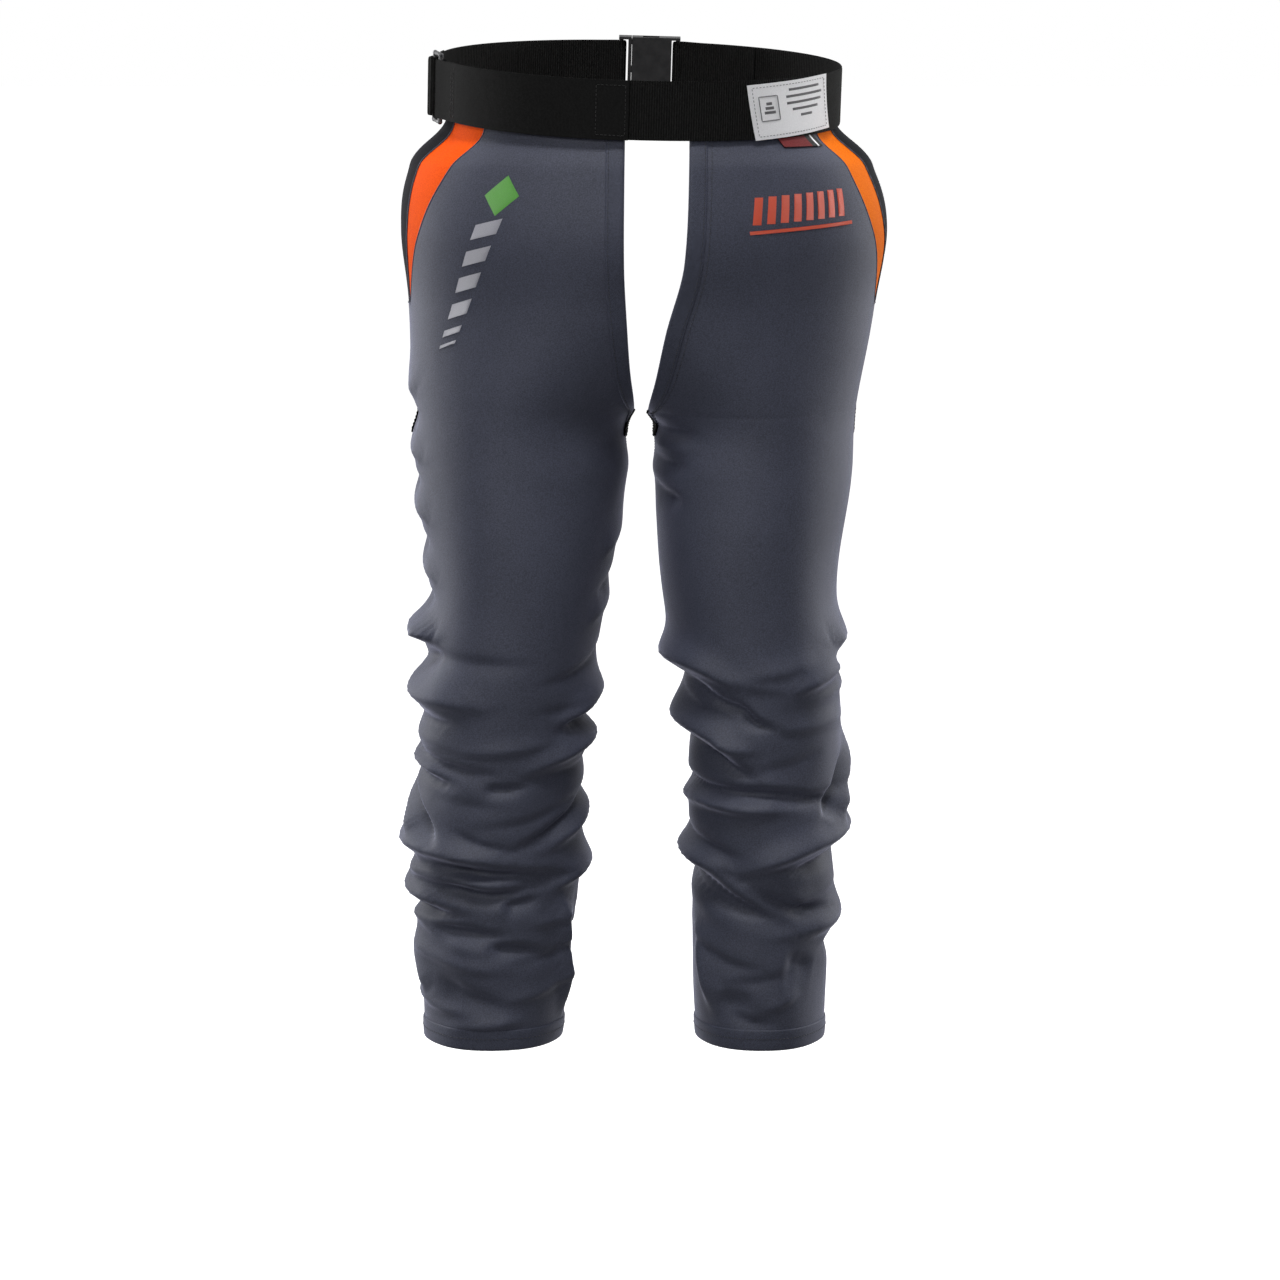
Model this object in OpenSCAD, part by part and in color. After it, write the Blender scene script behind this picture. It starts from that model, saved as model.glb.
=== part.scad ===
// Chainsaw chaps: a waist belt with two padded leg guards strapped behind the legs.
// +Z is up, the front faces -Y, and the origin is the centre of the belt loop.

/* [Waist belt] */
// Half width of the belt loop
belt_a = 172; // [160:1:200]
// Half depth of the belt loop
belt_b = 124; // [110:1:140]
// Width of the belt webbing
belt_w = 50; // [40:1:56]
// Thickness of the belt webbing
belt_t = 2.2; // [1.6:0.1:2.6]
// How far the belt dips at the front, in degrees
belt_tilt = 6.6; // [0:0.1:10]
// How much higher the belt sits on the right hip, in degrees
belt_roll = 1.6; // [0:0.2:4]

/* [Hip ring] */
// Diameter of the ring's wire
ring_wire = 4; // [3:0.5:5]
// Place of the ring's front bar around the belt, in degrees from the front
ring_front = 76; // [70:1:80]
// Place of the ring's rear bar around the belt, in degrees from the front
ring_rear = 83.5; // [82:0.5:90]

/* [Leg layers] */
// Thickness of the outer shell cloth
shell_t = 1.5; // [1:0.1:2]
// Thickness of the saw-protection pad
pad_t = 6; // [4:0.5:8]
// Thickness of the lining cloth
lining_t = 1; // [0.6:0.1:1.5]
// Gap between the layers
layer_gap = 0.2; // [0.1:0.05:0.3]

/* [Leg straps] */
// Width of the leg strap webbing
strap_w = 25; // [20:1:30]
// Thickness of the leg strap webbing
strap_t = 1.6; // [1.2:0.1:2]
// Heights of the straps on the thigh
thigh_strap_z = [-286, -409, -494]; // [-500:1:-250]
// Height of the strap on the shin
shin_strap_z = -700; // [-760:1:-640]

/* [Buckles] */
// Radius of the bars that the webbing loops around
bar_r = 2; // [1.5:0.1:2.5]
// Depth of a leg buckle's socket
leg_buckle_depth = 19; // [16:1:24]
// Thickness of a leg buckle
leg_buckle_t = 9; // [8:0.5:10]
// Depth of the waist buckle's socket
waist_buckle_depth = 32; // [28:1:38]
// Thickness of the waist buckle
waist_buckle_t = 13; // [12:0.5:15]

/* [Hidden] */

$fn = 48;
RIGHT = 0;
LEFT = 1;
shell_blue = [0.24, 0.26, 0.31];
binding_blue = shell_blue * 0.8;
orange = [1, 0.4, 0.12];
badge_green = [0.49, 0.78, 0.39];
tab_red = [0.63, 0.2, 0.18];
black = [0.08, 0.08, 0.08];
dark_plastic = [0.12, 0.12, 0.13];
silver = [0.75, 0.75, 0.78];
pad_white = [0.88, 0.87, 0.8];
lining_grey = [0.4, 0.42, 0.45];
eps = 0.01;

// Bends of the webbing around a bar
bar_play = 0.4;
ring_play = 1.8;

// A leg is a set of oval sections, each [height, centre out from the middle, centre back, half width,
// half depth], one list a leg. Angles go round a section from its front towards the outer side.
sections = [
    [
        [-12, 0, 0, 165, 113], [-38, 0, 0, 168, 115], [-64, 0, 1, 197, 125], [-120, 6, 3, 201, 130],
        [-185, 38, 8, 163, 118], [-275, 100, 9, 96, 98], [-330, 102, 8, 92, 95], [-440, 107, 1, 77, 86],
        [-552, 121, 0, 75, 78], [-690, 125, 10, 72, 75], [-834, 130, 12, 60, 66]
    ],
    [
        [-12, 0, 0, 165, 113], [-38, 0, 0, 168, 115], [-64, 0, 1, 199, 125], [-120, 4, 3, 210, 130],
        [-185, 36, 8, 168, 118], [-275, 96, 9, 92, 98], [-330, 97, 8, 87, 95], [-440, 96, 1, 75, 86],
        [-552, 108, 0, 69, 78], [-690, 107, 10, 64, 74], [-834, 106, 12, 56, 66]
    ]
];
// The edge beside the crotch, as [height, distance from the middle]
inner_edge = [
    [[-12, 14], [-143, 15], [-200, 12], [-275, 6]],
    [[-12, 44], [-143, 39], [-204, 23], [-275, 8]]
];
// How far the panel wraps behind the leg on its inner and outer sides, as [height, angle]
inner_wrap = [[-275, -80], [-330, -112], [-440, -122], [-552, -128], [-690, -138], [-834, -136]];
outer_wrap = [[-12, 96], [-120, 98], [-275, 110], [-440, 124], [-552, 130], [-690, 138], [-834, 136]];
// The seams before and behind the orange insert, as [height, front seam, rear seam]
insert_seams = [
    [[-12, 52, 73], [-60, 54, 73], [-100, 64, 74], [-140, 71, 76], [-185, 79, 81]],
    [[-12, 66, 80], [-60, 62, 80], [-100, 66, 80.5], [-140, 73, 83], [-185, 81, 84]]
];

hip_rings = [-12, -40, -49, -64, -92, -120, -152, -185];
thigh_rings = [-185.3, -215, -245, -275, -330, -385, -440, -512];
knee_rings = [-512.3, -552, -600];
shin_rings = [-600.3, -645, -690, -762, -834];
hem_rings = [-816, -834];
motif_badge_rings = [-75, -92, -102];
motif_bar_rings = [-104, -120, -152, -185, -218];
left_motif_rings = [-78, -92, -120];
left_motif_angles = [24, 58];
tab_rings = [-40, -49];
tab_angles = [43, 60];
label_angles = [32:3:68];
hip_cols = 8;
leg_cols = 16;
// The pad stops short of the panel's edges by this many columns
pad_margin = 2;
seam_gap = 0.3;
edge_gap = 1.2;
trim_lift = 0.8;
trim_t = 1;

// Cubic curve through a list of rows, read from column k at height z
function row_at(rows, z, i = 0) = i >= len(rows) - 2 || z >= rows[i + 1][0] ? i : row_at(rows, z, i + 1);
function slope(rows, i, k) =
    let (a = max(i - 1, 0), b = min(i + 1, len(rows) - 1))
    (rows[b][k] - rows[a][k]) / (rows[b][0] - rows[a][0]);
function curve(rows, z, k) =
    let (
        i = row_at(rows, z),
        span = rows[i + 1][0] - rows[i][0],
        t = min(max((z - rows[i][0]) / span, 0), 1)
    )
    (2 * t * t * t - 3 * t * t + 1) * rows[i][k] + (t * t * t - 2 * t * t + t) * span * slope(rows, i, k)
    + (3 * t * t - 2 * t * t * t) * rows[i + 1][k] + (t * t * t - t * t) * span * slope(rows, i + 1, k);

// A point on a leg's surface, always drawn on the +X side, lifted outward by off
function on_leg(leg, z, angle, off) =
    let (s = sections[leg])
    [
        curve(s, z, 1) + (curve(s, z, 3) + off) * sin(angle),
        curve(s, z, 2) - (curve(s, z, 4) + off) * cos(angle),
        z
    ];
function crotch_z(leg) = inner_edge[leg][len(inner_edge[leg]) - 1][0];
function edge_angle(leg, z) =
    let (s = sections[leg], share = (curve(inner_edge[leg], z, 1) - curve(s, z, 1)) / curve(s, z, 3))
    asin(min(max(share, -1), 1));
function inner_angle(leg, z) = z > crotch_z(leg) ? edge_angle(leg, z) : curve(inner_wrap, z, 1);
function outer_angle(z) = curve(outer_wrap, z, 1);

// A curved sheet on a leg between heights, with an angle at each end for each height.
// It runs from columns first to last of cols, and from lift inner to lift outer.
module sheet(leg, rings, from, to, cols, first, last, outer, inner) {
    n = last - first + 1;
    m = len(rings);
    function at(i, j, off) = on_leg(leg, rings[i], from[i] + (to[i] - from[i]) * (first + j) / cols, off);
    points = [for (off = [outer, inner]) for (i = [0:m - 1]) for (j = [0:n - 1]) at(i, j, off)];
    function id(i, j, s) = s * m * n + i * n + j;
    function quad(a, b, c, d) = [[a, b, c], [a, c, d]];
    function back(a, b, c, d) = [[a, c, b], [a, d, c]];
    faces = concat(
        [for (i = [0:m - 2]) for (j = [0:n - 2])
            each quad(id(i, j, 0), id(i, j + 1, 0), id(i + 1, j + 1, 0), id(i + 1, j, 0))],
        [for (i = [0:m - 2]) for (j = [0:n - 2])
            each back(id(i, j, 1), id(i, j + 1, 1), id(i + 1, j + 1, 1), id(i + 1, j, 1))],
        [for (j = [0:n - 2]) each quad(id(0, j, 0), id(0, j, 1), id(0, j + 1, 1), id(0, j + 1, 0))],
        [for (j = [0:n - 2])
            each back(id(m - 1, j, 0), id(m - 1, j, 1), id(m - 1, j + 1, 1), id(m - 1, j + 1, 0))],
        [for (i = [0:m - 2]) each quad(id(i, 0, 1), id(i, 0, 0), id(i + 1, 0, 0), id(i + 1, 0, 1))],
        [for (i = [0:m - 2])
            each back(id(i, n - 1, 1), id(i, n - 1, 0), id(i + 1, n - 1, 0), id(i + 1, n - 1, 1))]
    );
    on_side(leg) polyhedron(points, faces, convexity = 6);
}

module on_side(leg) {
    if (leg == RIGHT) mirror([1, 0, 0]) children();
    else children();
}

// One layer of a leg panel: 0 is the shell, 1 the pad and 2 the lining
module layer(leg, rings, to, cols, kind) {
    depth = [0, shell_t + layer_gap, shell_t + pad_t + 2 * layer_gap][kind];
    thick = [shell_t, pad_t, lining_t][kind];
    margin = kind == 1 ? pad_margin * cols / leg_cols : 0;
    from = [for (z = rings) inner_angle(leg, z)];
    color([shell_blue, pad_white, lining_grey][kind])
        sheet(leg, rings, from, to, cols, margin, cols - margin, -depth, -depth - thick);
}
module hip_layer(leg, kind) {
    to = [for (z = hip_rings) curve(insert_seams[leg], z, 1) - seam_gap];
    layer(leg, hip_rings, to, hip_cols, kind);
}
module leg_layer(leg, rings, kind) layer(leg, rings, [for (z = rings) outer_angle(z)], leg_cols, kind);

module orange_insert(leg) {
    from = [for (z = hip_rings) curve(insert_seams[leg], z, 1)];
    to = [for (z = hip_rings) curve(insert_seams[leg], z, 2)];
    color(orange) sheet(leg, hip_rings, from, to, 2, 0, 2, 0, -shell_t);
}
module rear_hip_panel(leg) {
    from = [for (z = hip_rings) curve(insert_seams[leg], z, 2) + seam_gap];
    to = [for (z = hip_rings) outer_angle(z)];
    color(shell_blue) sheet(leg, hip_rings, from, to, 3, 0, 3, 0, -shell_t);
}
// A trim lies on the shell between two heights and two angles
module trim(leg, rings, from, to, cols) {
    sheet(leg, rings, from, to, cols, 0, cols, trim_lift + trim_t, trim_lift);
}
module crotch_binding(leg) {
    rings = [-20, -40, -49, -64, -92, -120, -152, -185];
    from = [for (z = rings) inner_angle(leg, z)];
    binding_w = 14;
    to = [for (z = rings) inner_angle(leg, z) + binding_w / curve(sections[leg], z, 3) * 180 / PI];
    color(binding_blue) trim(leg, rings, from, to, 1);
}
module hem_band(leg) {
    from = [for (z = hem_rings) inner_angle(leg, z)];
    to = [for (z = hem_rings) outer_angle(z)];
    color(binding_blue) trim(leg, hem_rings, from, to, leg_cols);
}
// A slanted column of bars on the thigh, from the hip down, between rings
module right_motif(rings, colour) {
    slant = 0.105;
    top_angle = 34;
    half = 4;
    middle = [for (z = rings) top_angle + (motif_badge_rings[0] - z) * slant];
    color(colour) trim(RIGHT, rings, [for (m = middle) m - half], [for (m = middle) m + half], 2);
}
module left_motif() {
    rings = left_motif_rings;
    angles = left_motif_angles;
    color(orange) trim(LEFT, rings, [for (z = rings) angles[0]], [for (z = rings) angles[1]], 6);
}
module size_tab() {
    rings = tab_rings;
    angles = tab_angles;
    color(tab_red) trim(LEFT, rings, [for (z = rings) angles[0]], [for (z = rings) angles[1]], 3);
}

// Webbing drawn from a centre line: a flat strip of thickness t, standing w high
function turn_left(v) = [-v[1], v[0]] / norm(v);
function normal_at(p, i) = turn_left(p[min(i + 1, len(p) - 1)] - p[max(i - 1, 0)]);
function backwards(p) = [for (i = [len(p) - 1:-1:0]) p[i]];
module strip(path, t, w) {
    left = [for (i = [0:len(path) - 1]) path[i] + normal_at(path, i) * t / 2];
    right = [for (i = [0:len(path) - 1]) path[i] - normal_at(path, i) * t / 2];
    linear_extrude(height = w, center = true) polygon(concat(left, backwards(right)));
}
// The end of a strap that goes round a bar of radius r, then lies back on itself for tail points.
// side is 1 to turn to the left of the path, -1 to the right.
function loop_h(r, play, t) = r + play + t / 2;
function last_dir(p) = let (v = p[len(p) - 1] - p[len(p) - 2]) v / norm(v);
function bar_at(p, h, side) = p[len(p) - 1] + side * h * turn_left(last_dir(p));
// How far along the path its k-th point from the end lies
function back_by(p, k) = k == 0 ? 0 : norm(p[len(p) - k] - p[len(p) - 1 - k]) + back_by(p, k - 1);
settle_length = 25;
tail_gap = 0.1;
function loop_end(p, h, side, t, tail) =
    let (c = bar_at(p, h, side), d = last_dir(p), n = side * turn_left(d), last = len(p) - 1)
    concat(
        [for (a = [22.5:22.5:180]) c + h * (sin(a) * d - cos(a) * n)],
        [for (k = [1:tail])
            let (near = pow(max(1 - back_by(p, k) / settle_length, 0), 2), flat = t + tail_gap)
            p[last - k] + side * (flat + (2 * h - flat) * near) * normal_at(p, last - k)]
    );

// A point on the belt's middle line, by its angle from the front towards the wearer's left
function on_belt(angle) = [belt_a * sin(angle), -belt_b * cos(angle)];
function on_belt_out(angle, off) = [(belt_a + off) * sin(angle), -(belt_b + off) * cos(angle)];
module in_belt() rotate([belt_tilt, belt_roll, 0]) children();

ring_r = ring_wire / 2;
front_h = loop_h(ring_r, bar_play, belt_t);
rear_h = loop_h(ring_r, ring_play, belt_t);
belt_h = loop_h(bar_r, bar_play, belt_t);
belt_step = 3;
front_seam_angle = -2;
// The waist buckle lies behind the wearer, with its mouth's plane at waist_mouth
waist_mouth = -8;
// The socket's back wall, the space between it and the webbing's bar, and the top and bottom walls
socket_back = 3;
bar_room = 1.6;
skin = 1.5;
function socket_bar(depth) = depth + socket_back + 2 * bar_r + bar_room;
plug_bar = 9.6;
buckle_y = belt_b - belt_h;
socket_reach = waist_mouth + socket_bar(waist_buckle_depth);
plug_reach = waist_mouth - plug_bar;

// Where the belt's curve ends by the waist buckle: on the socket's side, and on the plug's side
socket_side_end = 162;
plug_side_end = -168;
// Where the plug's webbing ends and the rear strap starts, and the straight run into the buckle
rear_joint = -141;
buckle_run = [6, -0.3];

front_main = concat(
    [[socket_reach, belt_b], [socket_reach + buckle_run[0], belt_b + buckle_run[1]]],
    [for (a = [socket_side_end:-belt_step:-ring_front + belt_step / 2]) on_belt(a)],
    [on_belt(-ring_front)]
);
rear_main = [for (a = [rear_joint:belt_step:-ring_rear - belt_step / 2]) on_belt(a)];
rear_path = concat(rear_main, [on_belt(-ring_rear)]);
plug_main = concat(
    [for (a = [rear_joint - 0.2:-belt_step:plug_side_end]) on_belt(a)],
    [[plug_reach - buckle_run[0], belt_b + buckle_run[1]], [plug_reach, belt_b]]
);
// The belt's outside is on the left of a path that runs round the front from the wearer's left
ring_side = 1;
ring_front_bar = bar_at(front_main, front_h, ring_side);
ring_rear_bar = bar_at(rear_path, rear_h, -ring_side);
front_tail = floor((ring_front + front_seam_angle) / belt_step);

module front_band() {
    socket_end = loop_end(backwards(front_main), belt_h, 1, belt_t, 8);
    ring_end = loop_end(front_main, front_h, ring_side, belt_t, front_tail);
    color(black) in_belt() strip(concat(backwards(socket_end), front_main, ring_end), belt_t, belt_w);
}
module rear_strap() {
    end = loop_end(rear_path, rear_h, -ring_side, belt_t, 6);
    color(black) in_belt() strip(concat(rear_path, end), belt_t, belt_w);
}
module waist_plug_strap() {
    end = loop_end(plug_main, belt_h, -1, belt_t, 6);
    color(black) in_belt() strip(concat(plug_main, end), belt_t, belt_w);
}
module hip_ring() {
    reach = belt_w / 2 + ring_r + 1.6;
    corner_r = ring_r + 0.15;
    bars = [ring_front_bar, ring_rear_bar];
    span = bars[1] - bars[0];
    color(silver) in_belt() {
        for (b = bars) translate([b[0], b[1], -reach]) cylinder(r = ring_r, h = 2 * reach);
        for (z = [-reach, reach]) {
            translate([bars[0][0], bars[0][1], z]) rotate([0, 0, atan2(span[1], span[0])])
                rotate([0, 90, 0]) cylinder(r = ring_r, h = norm(span));
            for (b = bars) translate([b[0], b[1], z]) sphere(r = corner_r);
        }
    }
}
module belt_label() {
    label_h = 46;
    label_t = 0.5;
    lift = belt_t / 2 + 0.1;
    angles = [for (a = label_angles) a];
    outline = concat(
        [for (a = angles) on_belt_out(a, lift + label_t)], backwards([for (a = angles) on_belt_out(a, lift)])
    );
    color("white") in_belt() linear_extrude(height = label_h, center = true) polygon(outline);
}

// A side-release buckle: the webbing runs along X, and the plug leaves the socket towards -X.
// Both are centred on the mouth's plane.
wall = 2.2;
frame_extra = 8;
module bar_frame(from, to, t, w) {
    width = w + frame_extra;
    for (s = [-1, 1])
        translate([from, -t / 2, s * (width / 2 - wall / 2) - wall / 2]) cube([to - from, t, wall]);
}
module buckle_socket(w, t, depth) {
    width = w + frame_extra;
    bar_x = socket_bar(depth);
    window = depth * 0.45;
    difference() {
        translate([0, -t / 2, -width / 2]) cube([depth + socket_back, t, width]);
        translate([-1, -t / 2 + skin, -width / 2 + wall]) cube([depth + 1, t - 2 * skin, width - 2 * wall]);
        translate([depth * 0.3, -t / 2 + skin, -width / 2 - 1]) cube([window, t - 2 * skin, width + 2]);
    }
    bar_frame(depth + socket_back - eps, bar_x + bar_r, t, w);
    translate([bar_x, 0, -width / 2 + wall / 2]) cylinder(r = bar_r, h = width - wall);
}
module buckle_plug(w, t, depth) {
    width = w + frame_extra;
    mouth_gap = 0.3;
    arm_w = 4;
    prong_w = 5;
    arm_reach = depth - 1;
    base = 3;
    cavity = width - 2 * wall;
    play = 0.4;
    translate([-base - mouth_gap, -t / 2, -width / 2]) cube([base, t, width]);
    bar_frame(-plug_bar - bar_r, -base - mouth_gap + eps, t, w);
    translate([-plug_bar, 0, -width / 2 + wall / 2]) cylinder(r = bar_r, h = width - wall);
    arm_t = t - 2 * (skin + play);
    for (z = [-cavity / 2 + play, cavity / 2 - play - arm_w])
        translate([-base, -arm_t / 2, z]) cube([arm_reach + base, arm_t, arm_w]);
    translate([-base, -arm_t / 2, -prong_w / 2]) cube([arm_reach + base, arm_t, prong_w]);
}
module at_waist_buckle() in_belt() translate([waist_mouth, buckle_y, 0]) children();
module waist_socket() color(dark_plastic) at_waist_buckle()
    buckle_socket(belt_w, waist_buckle_t, waist_buckle_depth);
module waist_plug() color(dark_plastic) at_waist_buckle()
    buckle_plug(belt_w, waist_buckle_t, waist_buckle_depth);

// A leg strap goes from the panel's inner edge behind the leg to the plug,
// and a short tab goes from its outer edge to the socket.
leg_mouth = -9.5;
strap_h = loop_h(bar_r, bar_play, strap_t);
strap_step = 4;
// The strap leaves the leg's curve this far outside the buckle's bars, and runs straight between them
run_up = 10;
straight_half = plug_bar - leg_mouth + run_up;
function straight_turn(leg, z) = asin(straight_half / (curve(sections[leg], z, 3) - shell_t / 2));
function buckle_x(leg, z) = curve(sections[leg], z, 1) + leg_mouth;
function behind_leg(leg, z) = leg_point(leg, z, 180 - straight_turn(leg, z))[1];
function first_angles(leg, z) = [for (e = [-1, 0, 1]) inner_angle(leg, z + e * strap_w / 2)];
function last_angles(z) = [for (e = [-1, 0, 1]) outer_angle(z + e * strap_w / 2)];
function leg_point(leg, z, angle) = let (p = on_leg(leg, z, angle, -shell_t / 2)) [p[0], p[1]];
module leg_webbing(leg, z, out, from, bar_x) {
    to = out * (180 - straight_turn(leg, z));
    steps = ceil(abs(to - from) / strap_step);
    arc = [for (i = [0:steps]) leg_point(leg, z, from + (to - from) * i / steps)];
    main = concat(arc, [[bar_x, behind_leg(leg, z)]]);
    path = concat(main, loop_end(main, strap_h, out, strap_t, 5));
    translate([0, 0, z]) strip(path, strap_t, strap_w);
}
module leg_strap(leg, z) {
    mouth = buckle_x(leg, z);
    color(black) on_side(leg) {
        leg_webbing(leg, z, 1, max(last_angles(z)) + edge_gap, mouth + socket_bar(leg_buckle_depth));
        leg_webbing(leg, z, -1, min(first_angles(leg, z)) - edge_gap, mouth - plug_bar);
    }
}
module at_leg_buckle(leg, z) on_side(leg)
    translate([buckle_x(leg, z), behind_leg(leg, z) - strap_h, z]) children();
module leg_socket(leg, z) color(dark_plastic) at_leg_buckle(leg, z)
    buckle_socket(strap_w, leg_buckle_t, leg_buckle_depth);
module leg_plug(leg, z) color(dark_plastic) at_leg_buckle(leg, z)
    buckle_plug(strap_w, leg_buckle_t, leg_buckle_depth);

front_band();
rear_strap();
waist_plug_strap();
waist_socket();
waist_plug();
hip_ring();
belt_label();
size_tab();
hip_layer(RIGHT, 0);  // right_hip_shell
hip_layer(RIGHT, 1);  // right_hip_pad
hip_layer(RIGHT, 2);  // right_hip_lining
orange_insert(RIGHT);  // right_orange_insert
rear_hip_panel(RIGHT);  // right_rear_hip_panel
crotch_binding(RIGHT);  // right_crotch_binding
right_motif(motif_bar_rings, silver);  // right_motif_bars
right_motif(motif_badge_rings, badge_green);  // right_motif_badge
leg_layer(RIGHT, thigh_rings, 0);  // right_thigh_shell
leg_layer(RIGHT, thigh_rings, 1);  // right_thigh_pad
leg_layer(RIGHT, thigh_rings, 2);  // right_thigh_lining
leg_layer(RIGHT, knee_rings, 0);  // right_knee_shell
leg_layer(RIGHT, knee_rings, 1);  // right_knee_pad
leg_layer(RIGHT, knee_rings, 2);  // right_knee_lining
leg_layer(RIGHT, shin_rings, 0);  // right_shin_shell
leg_layer(RIGHT, shin_rings, 1);  // right_shin_pad
leg_layer(RIGHT, shin_rings, 2);  // right_shin_lining
hem_band(RIGHT);  // right_hem_band
for (z = thigh_strap_z) leg_strap(RIGHT, z);  // right_thigh_straps
for (z = thigh_strap_z) leg_socket(RIGHT, z);  // right_thigh_sockets
leg_strap(RIGHT, shin_strap_z);  // right_shin_strap
leg_socket(RIGHT, shin_strap_z);  // right_shin_socket
leg_plug(RIGHT, thigh_strap_z[0]);  // right_upper_plug
leg_plug(RIGHT, thigh_strap_z[1]);  // right_middle_plug
leg_plug(RIGHT, thigh_strap_z[2]);  // right_knee_plug
leg_plug(RIGHT, shin_strap_z);  // right_shin_plug
hip_layer(LEFT, 0);  // left_hip_shell
hip_layer(LEFT, 1);  // left_hip_pad
hip_layer(LEFT, 2);  // left_hip_lining
orange_insert(LEFT);  // left_orange_insert
rear_hip_panel(LEFT);  // left_rear_hip_panel
crotch_binding(LEFT);  // left_crotch_binding
left_motif();  // left_motif_bars
leg_layer(LEFT, thigh_rings, 0);  // left_thigh_shell
leg_layer(LEFT, thigh_rings, 1);  // left_thigh_pad
leg_layer(LEFT, thigh_rings, 2);  // left_thigh_lining
leg_layer(LEFT, knee_rings, 0);  // left_knee_shell
leg_layer(LEFT, knee_rings, 1);  // left_knee_pad
leg_layer(LEFT, knee_rings, 2);  // left_knee_lining
leg_layer(LEFT, shin_rings, 0);  // left_shin_shell
leg_layer(LEFT, shin_rings, 1);  // left_shin_pad
leg_layer(LEFT, shin_rings, 2);  // left_shin_lining
hem_band(LEFT);  // left_hem_band
for (z = thigh_strap_z) leg_strap(LEFT, z);  // left_thigh_straps
for (z = thigh_strap_z) leg_socket(LEFT, z);  // left_thigh_sockets
leg_strap(LEFT, shin_strap_z);  // left_shin_strap
leg_socket(LEFT, shin_strap_z);  // left_shin_socket
leg_plug(LEFT, thigh_strap_z[0]);  // left_upper_plug
leg_plug(LEFT, thigh_strap_z[1]);  // left_middle_plug
leg_plug(LEFT, thigh_strap_z[2]);  // left_knee_plug
leg_plug(LEFT, shin_strap_z);  // left_shin_plug
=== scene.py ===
"""The looks of the chainsaw chaps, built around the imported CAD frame. Metres, +Z up, the front faces -Y."""

import math

import bpy
import numpy as np
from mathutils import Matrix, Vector


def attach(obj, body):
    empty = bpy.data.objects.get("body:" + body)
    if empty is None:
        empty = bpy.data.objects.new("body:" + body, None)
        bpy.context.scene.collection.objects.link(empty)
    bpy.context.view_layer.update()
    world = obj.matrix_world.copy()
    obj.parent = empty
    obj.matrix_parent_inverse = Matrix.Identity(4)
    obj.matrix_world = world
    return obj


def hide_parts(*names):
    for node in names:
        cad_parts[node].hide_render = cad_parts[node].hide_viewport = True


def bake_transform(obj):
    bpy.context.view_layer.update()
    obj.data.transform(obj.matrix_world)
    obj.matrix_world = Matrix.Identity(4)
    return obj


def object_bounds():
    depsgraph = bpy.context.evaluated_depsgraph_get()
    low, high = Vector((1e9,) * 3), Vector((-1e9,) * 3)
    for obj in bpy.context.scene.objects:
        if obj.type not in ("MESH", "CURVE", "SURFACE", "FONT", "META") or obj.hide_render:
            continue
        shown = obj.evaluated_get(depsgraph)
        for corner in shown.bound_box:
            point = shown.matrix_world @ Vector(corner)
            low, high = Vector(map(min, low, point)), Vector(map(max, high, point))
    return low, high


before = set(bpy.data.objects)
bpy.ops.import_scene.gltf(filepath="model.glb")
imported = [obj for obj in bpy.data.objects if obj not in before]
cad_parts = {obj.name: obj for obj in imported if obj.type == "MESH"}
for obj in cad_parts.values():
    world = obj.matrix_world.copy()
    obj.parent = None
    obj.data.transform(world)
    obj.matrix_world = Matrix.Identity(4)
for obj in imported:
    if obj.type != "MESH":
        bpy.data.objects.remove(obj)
cad_low, cad_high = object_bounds()
MM = 0.001
SIDES = ("right", "left")
# The wearer's right leg is at -X, so it is drawn as the mirror image
MIRROR = {"right": -1, "left": 1}

# ---------------------------------------------------------------- the legs' shape
# Each leg is a set of oval sections: height, centre out from the middle, centre back, half width, half depth,
# in millimetres. Angles go round a section from its front towards the leg's outer side, in degrees.
SECTIONS = {
    "right": [
        (-12, 0, 0, 165, 113), (-38, 0, 0, 168, 115), (-64, 0, 1, 197, 125), (-120, 6, 3, 201, 130),
        (-185, 38, 8, 163, 118), (-275, 100, 9, 96, 98), (-330, 102, 8, 92, 95), (-440, 107, 1, 77, 86),
        (-552, 121, 0, 75, 78), (-690, 125, 10, 72, 75), (-834, 130, 12, 60, 66),
    ],
    "left": [
        (-12, 0, 0, 165, 113), (-38, 0, 0, 168, 115), (-64, 0, 1, 199, 125), (-120, 4, 3, 210, 130),
        (-185, 36, 8, 168, 118), (-275, 96, 9, 92, 98), (-330, 97, 8, 87, 95), (-440, 96, 1, 75, 86),
        (-552, 108, 0, 69, 78), (-690, 107, 10, 64, 74), (-834, 106, 12, 56, 66),
    ],
}
INNER_EDGE = {
    "right": [(-12, 14), (-143, 15), (-200, 12), (-275, 6)],
    "left": [(-12, 44), (-143, 39), (-204, 23), (-275, 8)],
}
INNER_WRAP = [(-275, -80), (-330, -112), (-440, -122), (-552, -128), (-690, -138), (-834, -136)]
OUTER_WRAP = [(-12, 96), (-120, 98), (-275, 110), (-440, 124), (-552, 130), (-690, 138), (-834, 136)]
SEAMS = {
    "right": [(-12, 52, 73), (-60, 54, 73), (-100, 61, 74), (-140, 69, 76), (-185, 79, 81)],
    "left": [(-12, 67, 76), (-60, 62, 74.5), (-100, 65, 77), (-140, 72, 82), (-185, 81, 84)],
}
TOP_Z = -12
CROTCH_Z = -275
HEM_Z = -834

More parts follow.
